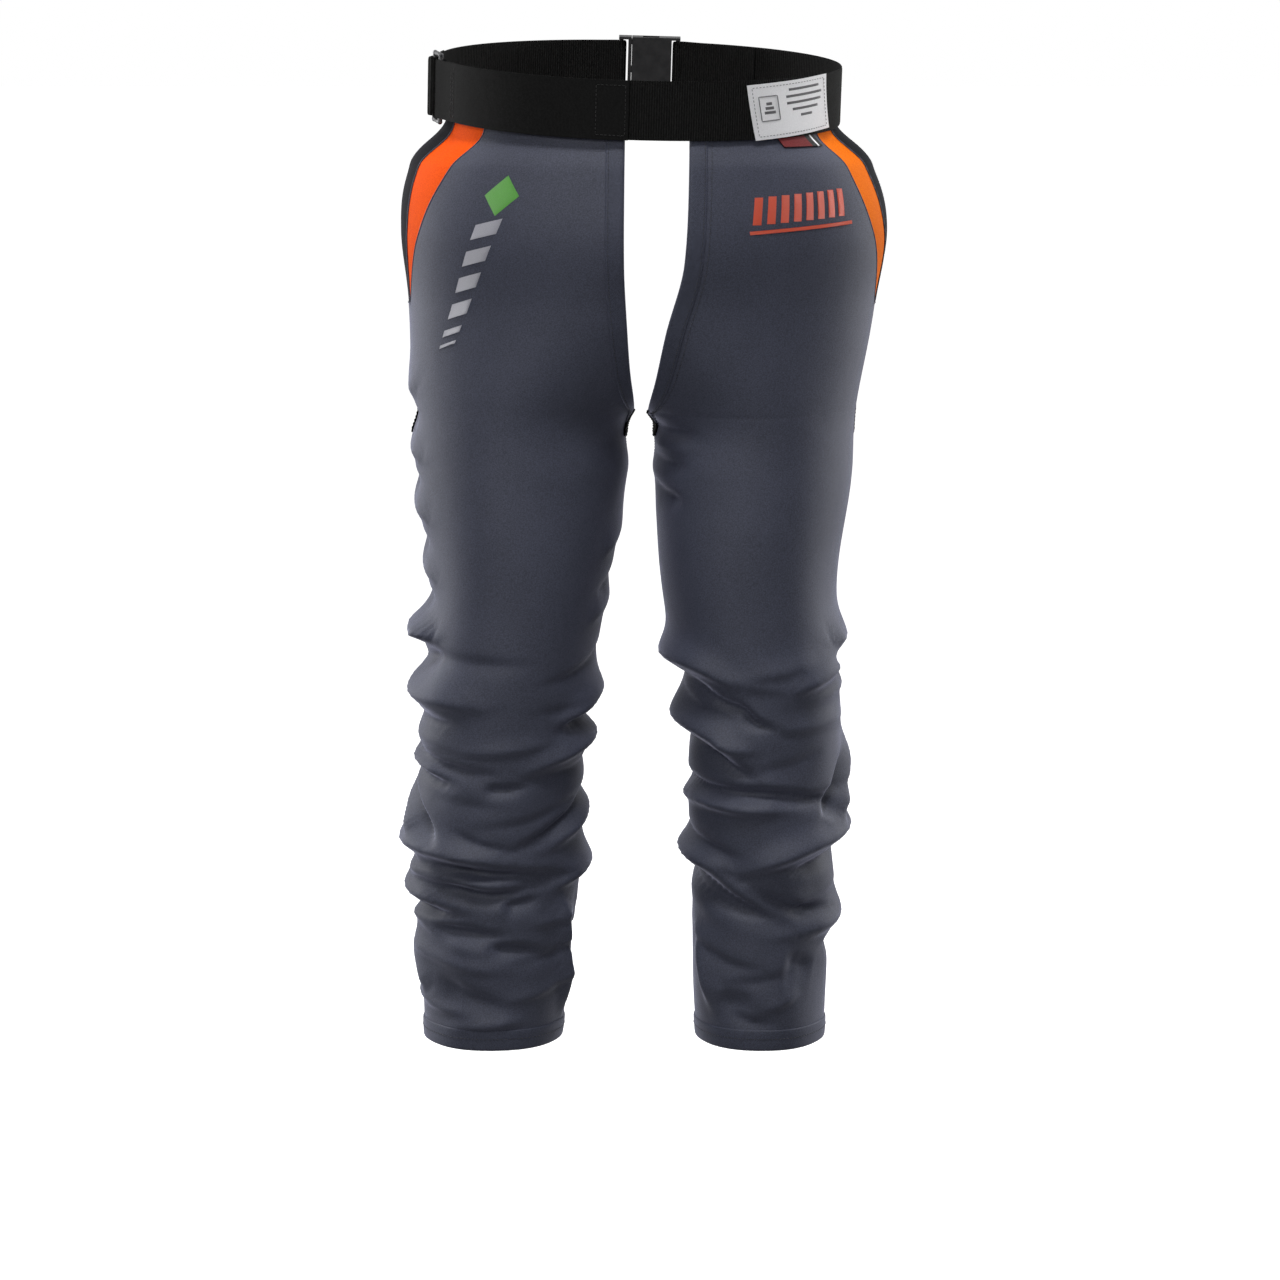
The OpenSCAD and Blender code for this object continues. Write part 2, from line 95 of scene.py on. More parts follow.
# Folds of each leg: height above or below the cloth, half width, and the line that it follows as
# (height, angle) points. The height is positive on a ridge and negative in a valley. Millimetres.
FOLDS = {
    "right": [
        (3, 12, [(-252, 94), (-262, 68)]), (-2.5, 9, [(-276, 92), (-282, 70)]),
        (3, 12, [(-304, 95), (-318, 66)]), (-2.5, 8, [(-332, 92), (-338, 72)]),
        (3, 12, [(-352, 96), (-372, 62)]), (-2.5, 8, [(-384, 94), (-392, 70)]),
        (3, 11, [(-404, 97), (-424, 60)]), (-2.5, 8, [(-432, 94), (-440, 68)]),
        (2, 12, [(-380, -88), (-400, -58)]),
        (2, 11, [(-440, -90), (-458, -56)]), (-2, 9, [(-420, -90), (-432, -62)]),
        (13, 10, [(-466, 100), (-472, 60)]), (-5, 12, [(-492, 88), (-486, 50)]),
        (7, 14, [(-517, 92), (-527, 12)]), (-5, 8, [(-538, 90), (-545, 28)]),
        (7, 10, [(-520, -92), (-543, -41)]), (-7, 8, [(-541, -95), (-547, -45)]),
        (7, 10, [(-556, -90), (-583, -20)]), (-6, 8, [(-570, 85), (-582, 40), (-587, 1)]),
        (5, 8, [(-579, 80), (-590, 35)]), (-5, 7, [(-588, 84), (-600, 29)]),
        (6, 10, [(-622, 90), (-645, 66)]), (-8, 9, [(-614, 80), (-640, 52), (-655, 43)]),
        (-4, 5, [(-600, 12), (-598, -22)]), (-6, 9, [(-606, -95), (-640, -40), (-657, -11)]),
        (6, 10, [(-624, -92), (-650, -42)]), (10, 12, [(-650, 95), (-660, 35), (-666, -5)]),
        (-9, 8, [(-669, 52), (-677, 0), (-680, -55)]), (5, 6, [(-679, 62), (-685, 10), (-684, -20)]),
        (-8, 7, [(-686, 48), (-695, 6), (-689, -38)]), (7, 10, [(-674, -95), (-690, -44)]),
        (-6, 7, [(-705, -2), (-699, -36)]), (7, 11, [(-695, 90), (-706, 36)]),
        (-7, 8, [(-706, 92), (-717, 24)]), (5, 10, [(-718, 75), (-721, 20)]),
        (-5, 7, [(-726, 54), (-731, -10)]), (-5, 6, [(-742, 10), (-743, -20), (-748, -42)]),
        (6, 9, [(-735, -60), (-810, -66)]), (-5, 8, [(-740, -82), (-806, -86)]),
        (-4, 12, [(-772, 52), (-785, 20), (-798, -13)]), (4, 14, [(-760, 80), (-790, 62)]),
    ],
    "left": [
        (-3, 8, [(-290, -66), (-293, -35)]), (3, 8, [(-302, -66), (-306, -38)]),
        (-3, 8, [(-318, -70), (-322, -40)]), (-3, 8, [(-344, -70), (-350, -45)]),
        (8, 11, [(-486, -95), (-491, -42), (-512, -13)]), (-7, 9, [(-502, -90), (-508, -50), (-526, -24)]),
        (-6, 6, [(-521, -40), (-528, -14), (-541, -6), (-549, 14)]), (7, 12, [(-496, 62), (-514, 20)]),
        (-8, 9, [(-487, 95), (-490, 62)]), (5, 12, [(-470, 95), (-474, 60)]),
        (7, 11, [(-540, -90), (-552, -38), (-580, -6)]), (-7, 8, [(-556, -84), (-569, -38), (-594, -6)]),
        (-7, 7, [(-597, -80), (-605, -13), (-603, 13), (-616, 58)]),
        (6, 9, [(-612, -78), (-618, -10), (-616, 24)]),
        (7, 9, [(-588, 90), (-635, 66)]), (-6, 8, [(-602, 66), (-630, 48)]),
        (9, 11, [(-640, 80), (-655, 28), (-679, -21)]), (-5, 7, [(-662, 70), (-676, 20)]),
        (-7, 7, [(-690, -12), (-698, 8), (-710, 33), (-711, 66)]),
        (8, 10, [(-662, -92), (-676, -45), (-691, -17)]),
        (-11, 8, [(-676, -88), (-689, -51), (-705, -17), (-721, 20)]), (6, 12, [(-720, 92), (-735, 30)]),
        (-4, 12, [(-787, -40), (-790, -5)]), (-4, 14, [(-754, 18), (-762, 50)]),
        (5, 10, [(-748, -60), (-800, -44)]), (-5, 9, [(-742, 90), (-748, 66)]),
    ],
}


def curve(rows, z, k=1):
    """A cubic curve through rows of (height, value, ...), read from column k at heights z."""
    table = np.array(rows, float)
    heights, values = table[::-1, 0], table[::-1, k]
    slopes = np.empty_like(values)
    slopes[1:-1] = (values[2:] - values[:-2]) / (heights[2:] - heights[:-2])
    slopes[0] = (values[1] - values[0]) / (heights[1] - heights[0])
    slopes[-1] = (values[-1] - values[-2]) / (heights[-1] - heights[-2])
    z = np.clip(np.asarray(z, float), heights[0], heights[-1])
    i = np.clip(np.searchsorted(heights, z, side="right") - 1, 0, len(heights) - 2)
    span = heights[i + 1] - heights[i]
    t = (z - heights[i]) / span
    return (
        (2 * t**3 - 3 * t**2 + 1) * values[i]
        + (t**3 - 2 * t**2 + t) * span * slopes[i]
        + (3 * t**2 - 2 * t**3) * values[i + 1]
        + (t**3 - t**2) * span * slopes[i + 1]
    )


def inner_angle(side, z):
    z = np.asarray(z, float)
    share = (curve(INNER_EDGE[side], z) - curve(SECTIONS[side], z, 1)) / curve(SECTIONS[side], z, 3)
    beside_crotch = np.degrees(np.arcsin(np.clip(share, -1, 1)))
    return np.where(z > CROTCH_Z, beside_crotch, curve(INNER_WRAP, z))


def outer_angle(z):
    return curve(OUTER_WRAP, z)


def on_section(side, z, angle, lift=0.0):
    """Points on the smooth leg, in metres, from heights in mm, angles in degrees and a lift in mm."""
    rows, a = SECTIONS[side], np.radians(angle)
    out = curve(rows, z, 1) + (curve(rows, z, 3) + lift) * np.sin(a)
    back = curve(rows, z, 2) - (curve(rows, z, 4) + lift) * np.cos(a)
    return np.stack(np.broadcast_arrays(MIRROR[side] * out, back, z), -1) * MM


def smooth(x):
    x = np.clip(x, 0, 1)
    return x * x * (3 - 2 * x)


def unit(v):
    return v / np.maximum(np.linalg.norm(v, axis=-1, keepdims=True), 1e-12)


# ---------------------------------------------------------------- the cloth surface of a leg
SIM_ROWS, SIM_COLS = 128, 73
FINE = 2
# The columns that lie on the seams before and behind the orange insert
SEAM_COLS = (54, 62)
INSERT_END_Z = -185
# How firmly the folds' first shape is held while the cloth settles, from 0 to 1
LOOSE_PIN = 0.45
SIM_FRAMES = 24
FORM_ROWS, FORM_COLS, FORM_INSET = 60, 49, -9
FOLD_DEPTH = 1.6
# How far the cloth may lie inside and outside its smooth shape, in mm
LOWEST_LIFT, HIGHEST_LIFT = -9, 18
SMALL_FOLDS, SMALL_FOLDS_TOP, SMALL_FOLDS_SPAN = 22, -470, 340
# A fold that starts further round than this, in degrees, starts at the leg's side, and runs on that much
# further round its back
FOLD_SIDE, FOLD_LEAD = 55, 40
# How many points a fold's line is drawn with, and how many times its corners are softened
FOLD_POINTS, FOLD_SOFTENING = 64, 40


def softened(grid, times):
    """The grid with its fine detail evened out: the panel is too thick to crumple."""
    for _ in range(times):
        for axis in (0, 1):
            g = np.moveaxis(grid, axis, 0).copy()
            g[1:-1] = g[1:-1] / 2 + (g[:-2] + g[2:]) / 4
            grid = np.moveaxis(g, 0, axis)
    return grid


def small_folds(side):
    """Slight creases between the main folds, sloping down from both sides of the knee and the shin."""
    pick = np.random.default_rng(4 if side == "right" else 9)
    folds = []
    for i in range(SMALL_FOLDS):
        z = SMALL_FOLDS_TOP - SMALL_FOLDS_SPAN * (i + pick.uniform(0, 1)) / SMALL_FOLDS
        first = (-1) ** i * pick.uniform(30, 85)
        last = first - (-1) ** i * pick.uniform(35, 75)
        drop = pick.uniform(4, 22)
        height = pick.uniform(1.2, 2.4) * pick.choice((-1, 1))
        line = [(z, first), (z - drop * 0.7, (first + last) / 2), (z - drop, last)]
        folds.append((height, pick.uniform(5, 8), line))
    return folds


def fold_height(side, z, angle):
    """How far the folds lift the cloth at each point, in mm. A fold is strongest at the leg's side and fades
    out across its front, and hangs over on its lower side."""
    radius = curve(SECTIONS[side], z, 3)
    p = np.stack([z, radius * np.radians(angle)], -1)
    lift = np.zeros_like(z)
    for height, width, line in FOLDS[side] + small_folds(side):
        r = float(curve(SECTIONS[side], line[0][0], 3))
        q = np.array([(h, r * math.radians(a)) for h, a in line])
        starts_at_side = abs(line[0][1]) > FOLD_SIDE
        lead = r * math.radians(FOLD_LEAD) if starts_at_side else 0.0
        q = np.concatenate([q[:1] + lead * unit(q[:1] - q[1:2]), q])
        steps = np.linalg.norm(np.diff(q, axis=0), axis=1)
        run = np.concatenate([[0], np.cumsum(steps)])
        path = np.linspace(0, run[-1], FOLD_POINTS)
        q = np.stack([np.interp(path, run, q[:, k]) for k in (0, 1)], -1)
        q = softened(np.repeat(q[:, None], 3, 1), FOLD_SOFTENING)[:, 1]
        gap = p[..., None, :] - q
        near = np.linalg.norm(gap, axis=-1)
        closest = near.argmin(-1)
        reach = run[-1] * closest / (len(q) - 1)
        share = np.clip((reach - lead) / (run[-1] - lead), 0, 1)
        above = np.take_along_axis(gap[..., 0], closest[..., None], -1)[..., 0]
        lean = np.tanh(above / 4) * (1 if height > 0 else -1)
        spread = width * (1.15 + 0.45 * lean) * (1 - 0.3 * share)
        rise = smooth(reach / lead) if starts_at_side else smooth(share / 0.35)
        fade = rise * smooth((1.15 - share) / 0.6)
        off = near.min(-1) / spread
        crest = 0.6 * np.exp(-(off**2)) + 0.4 * np.exp(0.12 - np.sqrt(off**2 + 0.015) * 1.4)
        lift += FOLD_DEPTH * height * fade * crest
    flare = 9 * np.exp(-(((z + 44) / 15) ** 2)) * smooth((angle - 66) / 18)
    broad = 1.1 * np.sin(z / 31 + angle / 26) * np.sin(angle / 17 - z / 57) * smooth((-60 - z) / 60)
    return lift + flare + broad


def vertical_slack(z):
    """How much longer the cloth is than the leg at each height: the panels stack on the boots."""
    above_knee = 0.05 * smooth((-420 - z) / 80)
    below_knee = 0.06 * smooth((-560 - z) / 60) - 0.05 * smooth((-745 - z) / 60)
    return 1 + above_knee + below_knee


def column_angles(side, z):
    """The angle of each seam and edge at heights z: inner edge, front seam, rear seam, outer edge."""
    first, last = inner_angle(side, z), outer_angle(z)
    below = smooth((INSERT_END_Z - z) / 150)
    knots = [first]
    for k, col in enumerate(SEAM_COLS):
        even = first + (last - first) * col / (SIM_COLS - 1)
        knots.append(curve(SEAMS[side], z, k + 1) * (1 - below) + even * below)
    return np.stack(knots + [last], -1)


def grid_faces(rows, cols):
    i = np.arange(rows - 1)[:, None] * cols + np.arange(cols - 1)[None, :]
    return np.stack([i, i + 1, i + cols + 1, i + cols], -1).reshape(-1, 4)


def new_mesh(name, points, faces):
    mesh = bpy.data.meshes.new(name)
    mesh.from_pydata(np.asarray(points).reshape(-1, 3).tolist(), [], np.asarray(faces).tolist())
    obj = bpy.data.objects.new(name, mesh)
    bpy.context.scene.collection.objects.link(obj)
    return obj


def simulate(side, start, rest, pin):
    """Settles the folded cloth on a form of the leg and returns its points."""
    rows, cols = start.shape[:2]
    cloth = new_mesh("cloth", start, grid_faces(rows, cols))
    cloth.shape_key_add(name="Basis")
    key = cloth.shape_key_add(name="Rest")
    key.data.foreach_set("co", rest.astype(np.float32).ravel())
    group = cloth.vertex_groups.new(name="pin")
    for i, weight in enumerate(pin.ravel()):
        if weight > 0:
            group.add([i], float(weight), "REPLACE")
    form_z = np.linspace(-150, -870, FORM_ROWS)[:, None]
    form_angle = np.linspace(-180, 180, FORM_COLS)[None, :]
    faces = grid_faces(FORM_ROWS, FORM_COLS)
    outward_side = faces if side == "right" else faces[:, ::-1]
    form = new_mesh("form", on_section(side, form_z, form_angle, FORM_INSET), outward_side)
    form.modifiers.new("Collision", "COLLISION")
    form.collision.thickness_outer = 0.002
    form.collision.cloth_friction = 10
    modifier = cloth.modifiers.new("Cloth", "CLOTH")
    s = modifier.settings
    s.quality = 6
    s.mass = 0.15
    s.air_damping = 2.0
    s.tension_stiffness = s.compression_stiffness = 60
    s.shear_stiffness = 25
    s.bending_stiffness = 8
    s.tension_damping = s.compression_damping = s.shear_damping = 10
    s.bending_damping = 1.0
    s.vertex_group_mass = "pin"
    s.pin_stiffness = 1.0
    s.rest_shape_key = key
    modifier.collision_settings.distance_min = 0.002
    modifier.point_cache.frame_start = 1
    modifier.point_cache.frame_end = SIM_FRAMES
    for frame_number in range(1, SIM_FRAMES + 1):
        bpy.context.scene.frame_set(frame_number)
    done = cloth.evaluated_get(bpy.context.evaluated_depsgraph_get())
    out = np.zeros(rows * cols * 3, np.float32)
    done.data.vertices.foreach_get("co", out)
    bpy.context.scene.frame_set(1)
    for o in (cloth, form):
        bpy.data.objects.remove(o, do_unlink=True)
    return out.reshape(rows, cols, 3).astype(float)


def finer(grid, axis, steps=FINE):
    """The grid with steps times as many points along an axis, on a smooth curve through its points."""
    g = np.moveaxis(grid, axis, 0)
    before, after = 2 * g[0] - g[1], 2 * g[-1] - g[-2]
    p = np.concatenate([before[None], g, after[None]])
    rows = [g[:1]]
    for i in range(len(g) - 1):
        a, b, c, d = p[i : i + 4]
        for k in range(1, steps + 1):
            t = k / steps
            q = 2 * b + (c - a) * t + (2 * a - 5 * b + 4 * c - d) * t**2 + (3 * b - a - 3 * c + d) * t**3
            rows.append(0.5 * q[None])
    return np.moveaxis(np.concatenate(rows), 0, axis)


def grid_normals(points, outward):
    """Unit normals of a grid of points, on the side that outward points to."""
    n = unit(np.cross(np.gradient(points, axis=1), np.gradient(points, axis=0)))
    return n if (n * outward).sum() > 0 else -n


def arc_uv(points):
    """Lengths along the rows and columns of a grid, in metres, as texture coordinates."""
    u = np.linalg.norm(np.diff(points, axis=1, prepend=points[:, :1]), axis=-1).cumsum(1)
    v = np.linalg.norm(np.diff(points, axis=0, prepend=points[:1]), axis=-1).cumsum(0)
    middle = points.shape[1] // 2
    return np.stack([u - u[:, middle : middle + 1], -np.broadcast_to(v[:, middle : middle + 1], u.shape)], -1)


class Leg:
    """The settled cloth surface of one leg, read by nominal height in mm and angle in degrees."""

    def __init__(self, side):
        self.side = side
        self.knot_cols = FINE * np.array([0, *SEAM_COLS, SIM_COLS - 1])
        fine_rows, fine_cols = FINE * (SIM_ROWS - 1) + 1, FINE * (SIM_COLS - 1) + 1
        z = np.linspace(TOP_Z, HEM_Z, fine_rows)
        knots = column_angles(side, z)
        angle = np.stack([np.interp(np.arange(fine_cols), self.knot_cols, row) for row in knots])
        height = np.broadcast_to(z[:, None], angle.shape)
        base = on_section(side, height, angle)
        outward = unit(on_section(side, height, angle, 1) - base)
        points = on_section(side, height, angle, fold_height(side, height, angle))
        coarse = (slice(None, None, FINE), slice(None, None, FINE))
        points = points + self.settled(z[::FINE], height[coarse], angle[coarse], points[coarse])
        lift = ((points - base) * outward).sum(-1)
        too_far = np.clip(lift, LOWEST_LIFT * MM, HIGHEST_LIFT * MM) - lift
        self.points = points + too_far[..., None] * outward
        self.flat = base
        self.rows, self.cols = self.points.shape[:2]
        self.normals = grid_normals(self.points, outward)
        self.uv = arc_uv(self.points)
        across = self.uv[..., 0]
        down = np.linspace(0, TOP_Z - HEM_Z, self.rows)[:, None]
        from_inner = (across - across[:, :1]) / MM
        from_outer = (across[:, -1:] - across) / MM
        self.from_edge = np.minimum(np.minimum(from_inner, from_outer), TOP_Z - HEM_Z - down)

    def settled(self, z, height, angle, start):
        """How far each point moves when the folded cloth settles under its own weight, in metres."""
        slack = vertical_slack(z)
        tall = TOP_Z - np.concatenate([[0], np.cumsum((slack[1:] + slack[:-1]) / 2 * -np.diff(z))])
        rest = on_section(self.side, height, angle)
        rest[..., 2] = tall[:, None] * MM
        pin = 1 - (1 - LOOSE_PIN) * smooth((-280 - height) / 120)
        near_side = np.minimum(np.arange(SIM_COLS), np.arange(SIM_COLS)[::-1])[None, :]
        pin = np.maximum(pin, 0.9 * (1 - smooth(near_side / 7)))
        pin = np.maximum(pin, 1 - smooth((height - HEM_Z) / 26))
        moved = softened(simulate(self.side, start, rest, pin) - start, 6)
        return finer(finer(moved, 0), 1)

    def row(self, z):
        return (TOP_Z - np.asarray(z, float)) / (TOP_Z - HEM_Z) * (self.rows - 1)

    def read(self, table, z, angle):
        """A table's values at nominal heights and angles, between its grid points."""
        z, angle = np.broadcast_arrays(np.asarray(z, float), np.asarray(angle, float))
        knots = column_angles(self.side, z)
        cols = self.knot_cols
        c = np.zeros(z.shape)
        for k in range(3):
            share = (angle - knots[..., k]) / (knots[..., k + 1] - knots[..., k])
            c = np.where(share > 0, cols[k] + np.clip(share, 0, 1) * (cols[k + 1] - cols[k]), c)
        r = np.clip(self.row(z), 0, self.rows - 1)
        i, j = np.minimum(r.astype(int), self.rows - 2), np.minimum(c.astype(int), self.cols - 2)
        a, b = (r - i)[..., None], (c - j)[..., None]
        top = table[i, j] * (1 - b) + table[i, j + 1] * b
        low = table[i + 1, j] * (1 - b) + table[i + 1, j + 1] * b
        return top * (1 - a) + low * a

    def normal(self, z, angle):
        return unit(self.read(self.normals, z, angle))

    def at(self, z, angle, lift=0.0):
        """Points on the cloth at nominal heights and angles, lifted off it in mm."""
        return self.read(self.points, z, angle) + np.asarray(lift)[..., None] * MM * self.normal(z, angle)

    def around(self, z, mm):
        """The turn in degrees that is mm long round the leg at height z."""
        return np.degrees(mm / curve(SECTIONS[self.side], z, 3))


legs = {side: Leg(side) for side in SIDES}

# ---------------------------------------------------------------- materials


class Nodes:
    """A material's or the world's nodes in the making. A source is a node's output or a plain value."""

    def __init__(self, owner):
        owner.use_nodes = True
        self.owner, self.tree = owner, owner.node_tree

    def feed(self, socket, source):
        if isinstance(source, bpy.types.NodeSocket):
            self.tree.links.new(source, socket)
        else:
            socket.default_value = source

    def node(self, kind, *sources, **named):
        """The output of a new node. Sources feed its first inputs, named ones the inputs of that name."""
        node = self.tree.nodes.new("ShaderNode" + kind)
        for key, source in [*enumerate(sources), *named.items()]:
            self.feed(node.inputs[key], source)
        return node.outputs[0]

    def calculate(self, operation, *sources):
        result = self.node("Math", *sources)
        result.node.operation = operation
        return result

    def lengths(self):
        """The cloth's two lengths at a point, in metres, from its texture coordinates."""
        return self.node("SeparateXYZ", self.node("UVMap")).node.outputs[:2]

    def wave(self, length, pitch):
        """Even ridges across a length, pitch metres apart."""
        return self.calculate("SINE", self.calculate("MULTIPLY", length, 2 * math.pi / pitch))

    def noise(self, scale, detail, roughness=0.5):
        place = self.node("TexCoord").node.outputs["Object"]
        return self.node("TexNoise", Vector=place, Scale=scale, Detail=detail, Roughness=roughness)

    def colours(self, source, low, high, start=0.0, end=1.0):
        """A blend from the low colour, where the source is start, to the high one, where it is end."""
        result = self.node("ValToRGB", source)
        stops = result.node.color_ramp.elements
        stops[0].position, stops[0].color = start, (*low, 1)
        stops[1].position, stops[1].color = end, (*high, 1)
        return result

    def bump(self, height, strength, distance, **under):
        return self.node("Bump", Height=height, Strength=strength, Distance=distance, **under)

    def finished(self, shader="Principled BSDF", **values):
        """The material or world, with values on its shader's sockets. An underscore stands for a space."""
        for key, source in values.items():
            self.feed(self.tree.nodes[shader].inputs[key.replace("_", " ")], source)
        return self.owner


def new_surface(name):
    return Nodes(bpy.data.materials.new(name))


def cloth_material(name, dark, light, weave, sheen, sheen_tint, rough, mottle=0.35, bump=0.25, gloss=0.35):
    """Plain-woven cloth: crossing threads weave metres apart, faint mottling and a soft sheen."""
    surface = new_surface(name)
    crossing = [surface.wave(length, weave) for length in surface.lengths()]
    woven = surface.calculate("MULTIPLY", *crossing)
    fine, broad = surface.noise(900.0, 3.0), surface.noise(14.0, 5.0, 0.6)
    mixed = surface.calculate("MULTIPLY_ADD", woven, 0.28, fine)
    mottled = surface.calculate("MULTIPLY_ADD", broad, mottle, mixed)
    threads = surface.bump(surface.calculate("MULTIPLY_ADD", woven, 0.5, fine), bump, 0.0003)
    return surface.finished(
        Base_Color=surface.colours(mottled, dark, light, 0.5, 0.86),
        Normal=surface.bump(surface.noise(60.0, 2.0), 0.12, 0.002, Normal=threads),
        Roughness=rough,
        Specular_IOR_Level=gloss,
        Sheen_Weight=sheen,
        Sheen_Roughness=0.35,
        Sheen_Tint=(*sheen_tint, 1),
    )


def webbing_material(name, rib, depth, colour, light):
    """Woven webbing with ribs across it, rib metres apart, and a fine dotted weave between them."""
    surface = new_surface(name)
    along, across = surface.lengths()
    ribs = surface.wave(along, rib)
    dots = surface.calculate("MULTIPLY", ribs, surface.wave(across, 0.0012))
    height = surface.calculate("MULTIPLY_ADD", dots, 0.35, ribs)
    shade = surface.calculate("MULTIPLY_ADD", height, 0.16, surface.noise(700.0, 2.0))
    return surface.finished(
        Base_Color=surface.colours(shade, colour, light, 0.3, 0.8),
        Normal=surface.bump(height, depth, 0.0004),
        Roughness=0.75,
        Specular_IOR_Level=0.12,
    )


def noisy_material(name, dark, light, rough, metal, scale, bump, distance):
    """A surface whose colour and roughness wander between two values, with a fine grain."""
    surface = new_surface(name)
    broad = surface.noise(scale, 6.0, 0.65)
    return surface.finished(
        Base_Color=surface.colours(broad, dark, light, 0.35, 0.72),
        Normal=surface.bump(surface.noise(1500.0, 2.0), bump, distance),
        Roughness=surface.node("MapRange", broad, 0.0, 1.0, *rough),
        Metallic=metal,
    )


def thread_material(name, colour, shine):
    """Embroidery or sewing thread: fine parallel strands across the stitch."""
    surface = new_surface(name)
    strands = surface.wave(surface.lengths()[0], 0.0005)
    spread = surface.node("MapRange", strands, -1.0)
    return surface.finished(
        Base_Color=surface.colours(spread, [c * 0.62 for c in colour], colour),
        Normal=surface.bump(strands, 0.6, 0.0002),
        Roughness=shine,
        Sheen_Weight=0.12,
    )


SHELL_DARK, SHELL_LIGHT = (0.029, 0.032, 0.049), (0.064, 0.07, 0.106)
LAVENDER = (0.72, 0.74, 1.0)
SHELL = cloth_material("shell_cloth", SHELL_DARK, SHELL_LIGHT, 0.0011, 0.5, LAVENDER, 0.6, gloss=0.42)
BINDING = cloth_material(
    "binding_cloth", (0.027, 0.03, 0.046), (0.06, 0.066, 0.1), 0.0014, 0.45, LAVENDER, 0.62
)
# Painted shade: the rear hip panels are the grey shell fabric, and this near-black colour stands in for the
# shadow they lie in
REAR_CLOTH_PAINTED_SHADE = cloth_material(
    "rear_cloth_painted_shade", (0.003, 0.003, 0.005), (0.011, 0.011, 0.015), 0.0012, 0.03, LAVENDER, 0.8, gloss=0.1
)
WARM, WHITE = (1.0, 0.75, 0.5), (1, 1, 1)
RED_ORANGE = cloth_material(
    "red_orange_cloth", (0.82, 0.07, 0.001), (1.0, 0.125, 0.002), 0.0009, 0.0, WARM, 0.7, 0.2, gloss=0.08
)
ORANGE = cloth_material(
    "orange_cloth", (0.86, 0.15, 0.001), (1.0, 0.235, 0.003), 0.0009, 0.0, WARM, 0.7, 0.2, gloss=0.08
)
LINING = cloth_material(
    "lining_mesh", (0.06, 0.065, 0.075), (0.2, 0.21, 0.23), 0.0032, 0.1, WHITE, 0.75, 0.2, 0.6
)
PAD = cloth_material(
    "pad_fibre", (0.6, 0.58, 0.48), (0.85, 0.84, 0.76), 0.004, 0.1, WHITE, 0.85, 0.5, 0.8
)
LABEL = cloth_material(
    "label_cloth", (0.84, 0.84, 0.86), (0.95, 0.95, 0.97), 0.0006, 0.1, WHITE, 0.6, 0.1, 0.15
)
TAB_RED = cloth_material(
    "tab_red", (0.12, 0.006, 0.008), (0.22, 0.014, 0.016), 0.0008, 0.1, WHITE, 0.6, 0.1, 0.2
)
TAB_BLACK = cloth_material(
    "tab_black", (0.01, 0.01, 0.01), (0.03, 0.03, 0.03), 0.0008, 0.1, WHITE, 0.6, 0.1, 0.2
)
BELT_RIBBED = webbing_material(
    "belt_webbing_ribbed", 0.0021, 0.8, (0.002, 0.002, 0.002), (0.014, 0.014, 0.0135)
)
BELT_SMOOTH = webbing_material(
    "belt_webbing_outer", 0.0012, 0.25, (0.003, 0.003, 0.003), (0.009, 0.009, 0.009)
)
STRAP_WEB = webbing_material("strap_webbing", 0.0018, 0.6, (0.002, 0.002, 0.002), (0.013, 0.013, 0.013))
PLASTIC = noisy_material(
    "buckle_plastic", (0.008, 0.008, 0.009), (0.02, 0.02, 0.021), (0.34, 0.5), 0.0, 90.0, 0.25, 0.0002
)
STEEL = noisy_material(
    "ring_steel", (0.02, 0.02, 0.022), (0.3, 0.3, 0.31), (0.25, 0.5), 0.85, 120.0, 0.15, 0.0001
)
SILVER_THREAD = thread_material("silver_thread", (0.5, 0.5, 0.57), 0.35)
GREEN_THREAD = thread_material("green_thread", (0.15, 0.5, 0.085), 0.4)
ORANGE_THREAD = thread_material("orange_thread", (0.85, 0.085, 0.025), 0.4)
SEAM_THREAD = thread_material("seam_thread", (0.022, 0.024, 0.034), 0.55)
BLACK_THREAD = thread_material("black_thread", (0.006, 0.006, 0.006), 0.5)
GREY_PRINT = thread_material("grey_print", (0.16, 0.16, 0.17), 0.6)

# ---------------------------------------------------------------- meshes
# A part of a mesh is a dictionary of points, four-cornered faces, uv and, where they are set, normals.


def sheet_part(points, normals, top, bottom, keep=None, uv=None, slot=0):
    """A closed sheet over a grid of points, between two lifts in mm, with a rim all round."""
    rows, cols = points.shape[:2]
    n = rows * cols
    lifts = [np.broadcast_to(np.asarray(k, float), (rows, cols))[..., None] * MM for k in (top, bottom)]
    outer, inner = [(points + normals * k).reshape(-1, 3) for k in lifts]
    faces = grid_faces(rows, cols)
    if keep is not None:
        faces = faces[keep.ravel()]
    a, b, c = outer[faces[:, 0]], outer[faces[:, 1]], outer[faces[:, 3]]
    flat_normals = normals.reshape(-1, 3)
    if (np.cross(b - a, c - a) * flat_normals[faces[:, 0]]).sum() < 0:
        faces = faces[:, ::-1]
    edges = np.stack([faces, np.roll(faces, -1, axis=1)], -1).reshape(-1, 2)
    open_edge = ~np.isin(edges[:, 0] * n + edges[:, 1], edges[:, 1] * n + edges[:, 0])
    a, b = edges[open_edge].T
    rim = np.stack([b, a, a + n, b + n], -1)
    uv = arc_uv(points) if uv is None else uv
    return {
        "points": np.concatenate([outer, inner]),
        "faces": np.concatenate([faces, faces[:, ::-1] + n, rim]),
        "uv": np.tile(uv.reshape(-1, 2), (2, 1)),
        "normals": np.concatenate([flat_normals, -flat_normals]),
        "slot": slot,
    }


def resampled(path, count):
    """A path with count points, evenly spaced along it."""
    s = np.linalg.norm(np.diff(path, axis=0, prepend=path[:1]), axis=-1).cumsum()
    even = np.linspace(0, s[-1], count)
    return np.stack([np.interp(even, s, path[:, k]) for k in range(3)], -1)


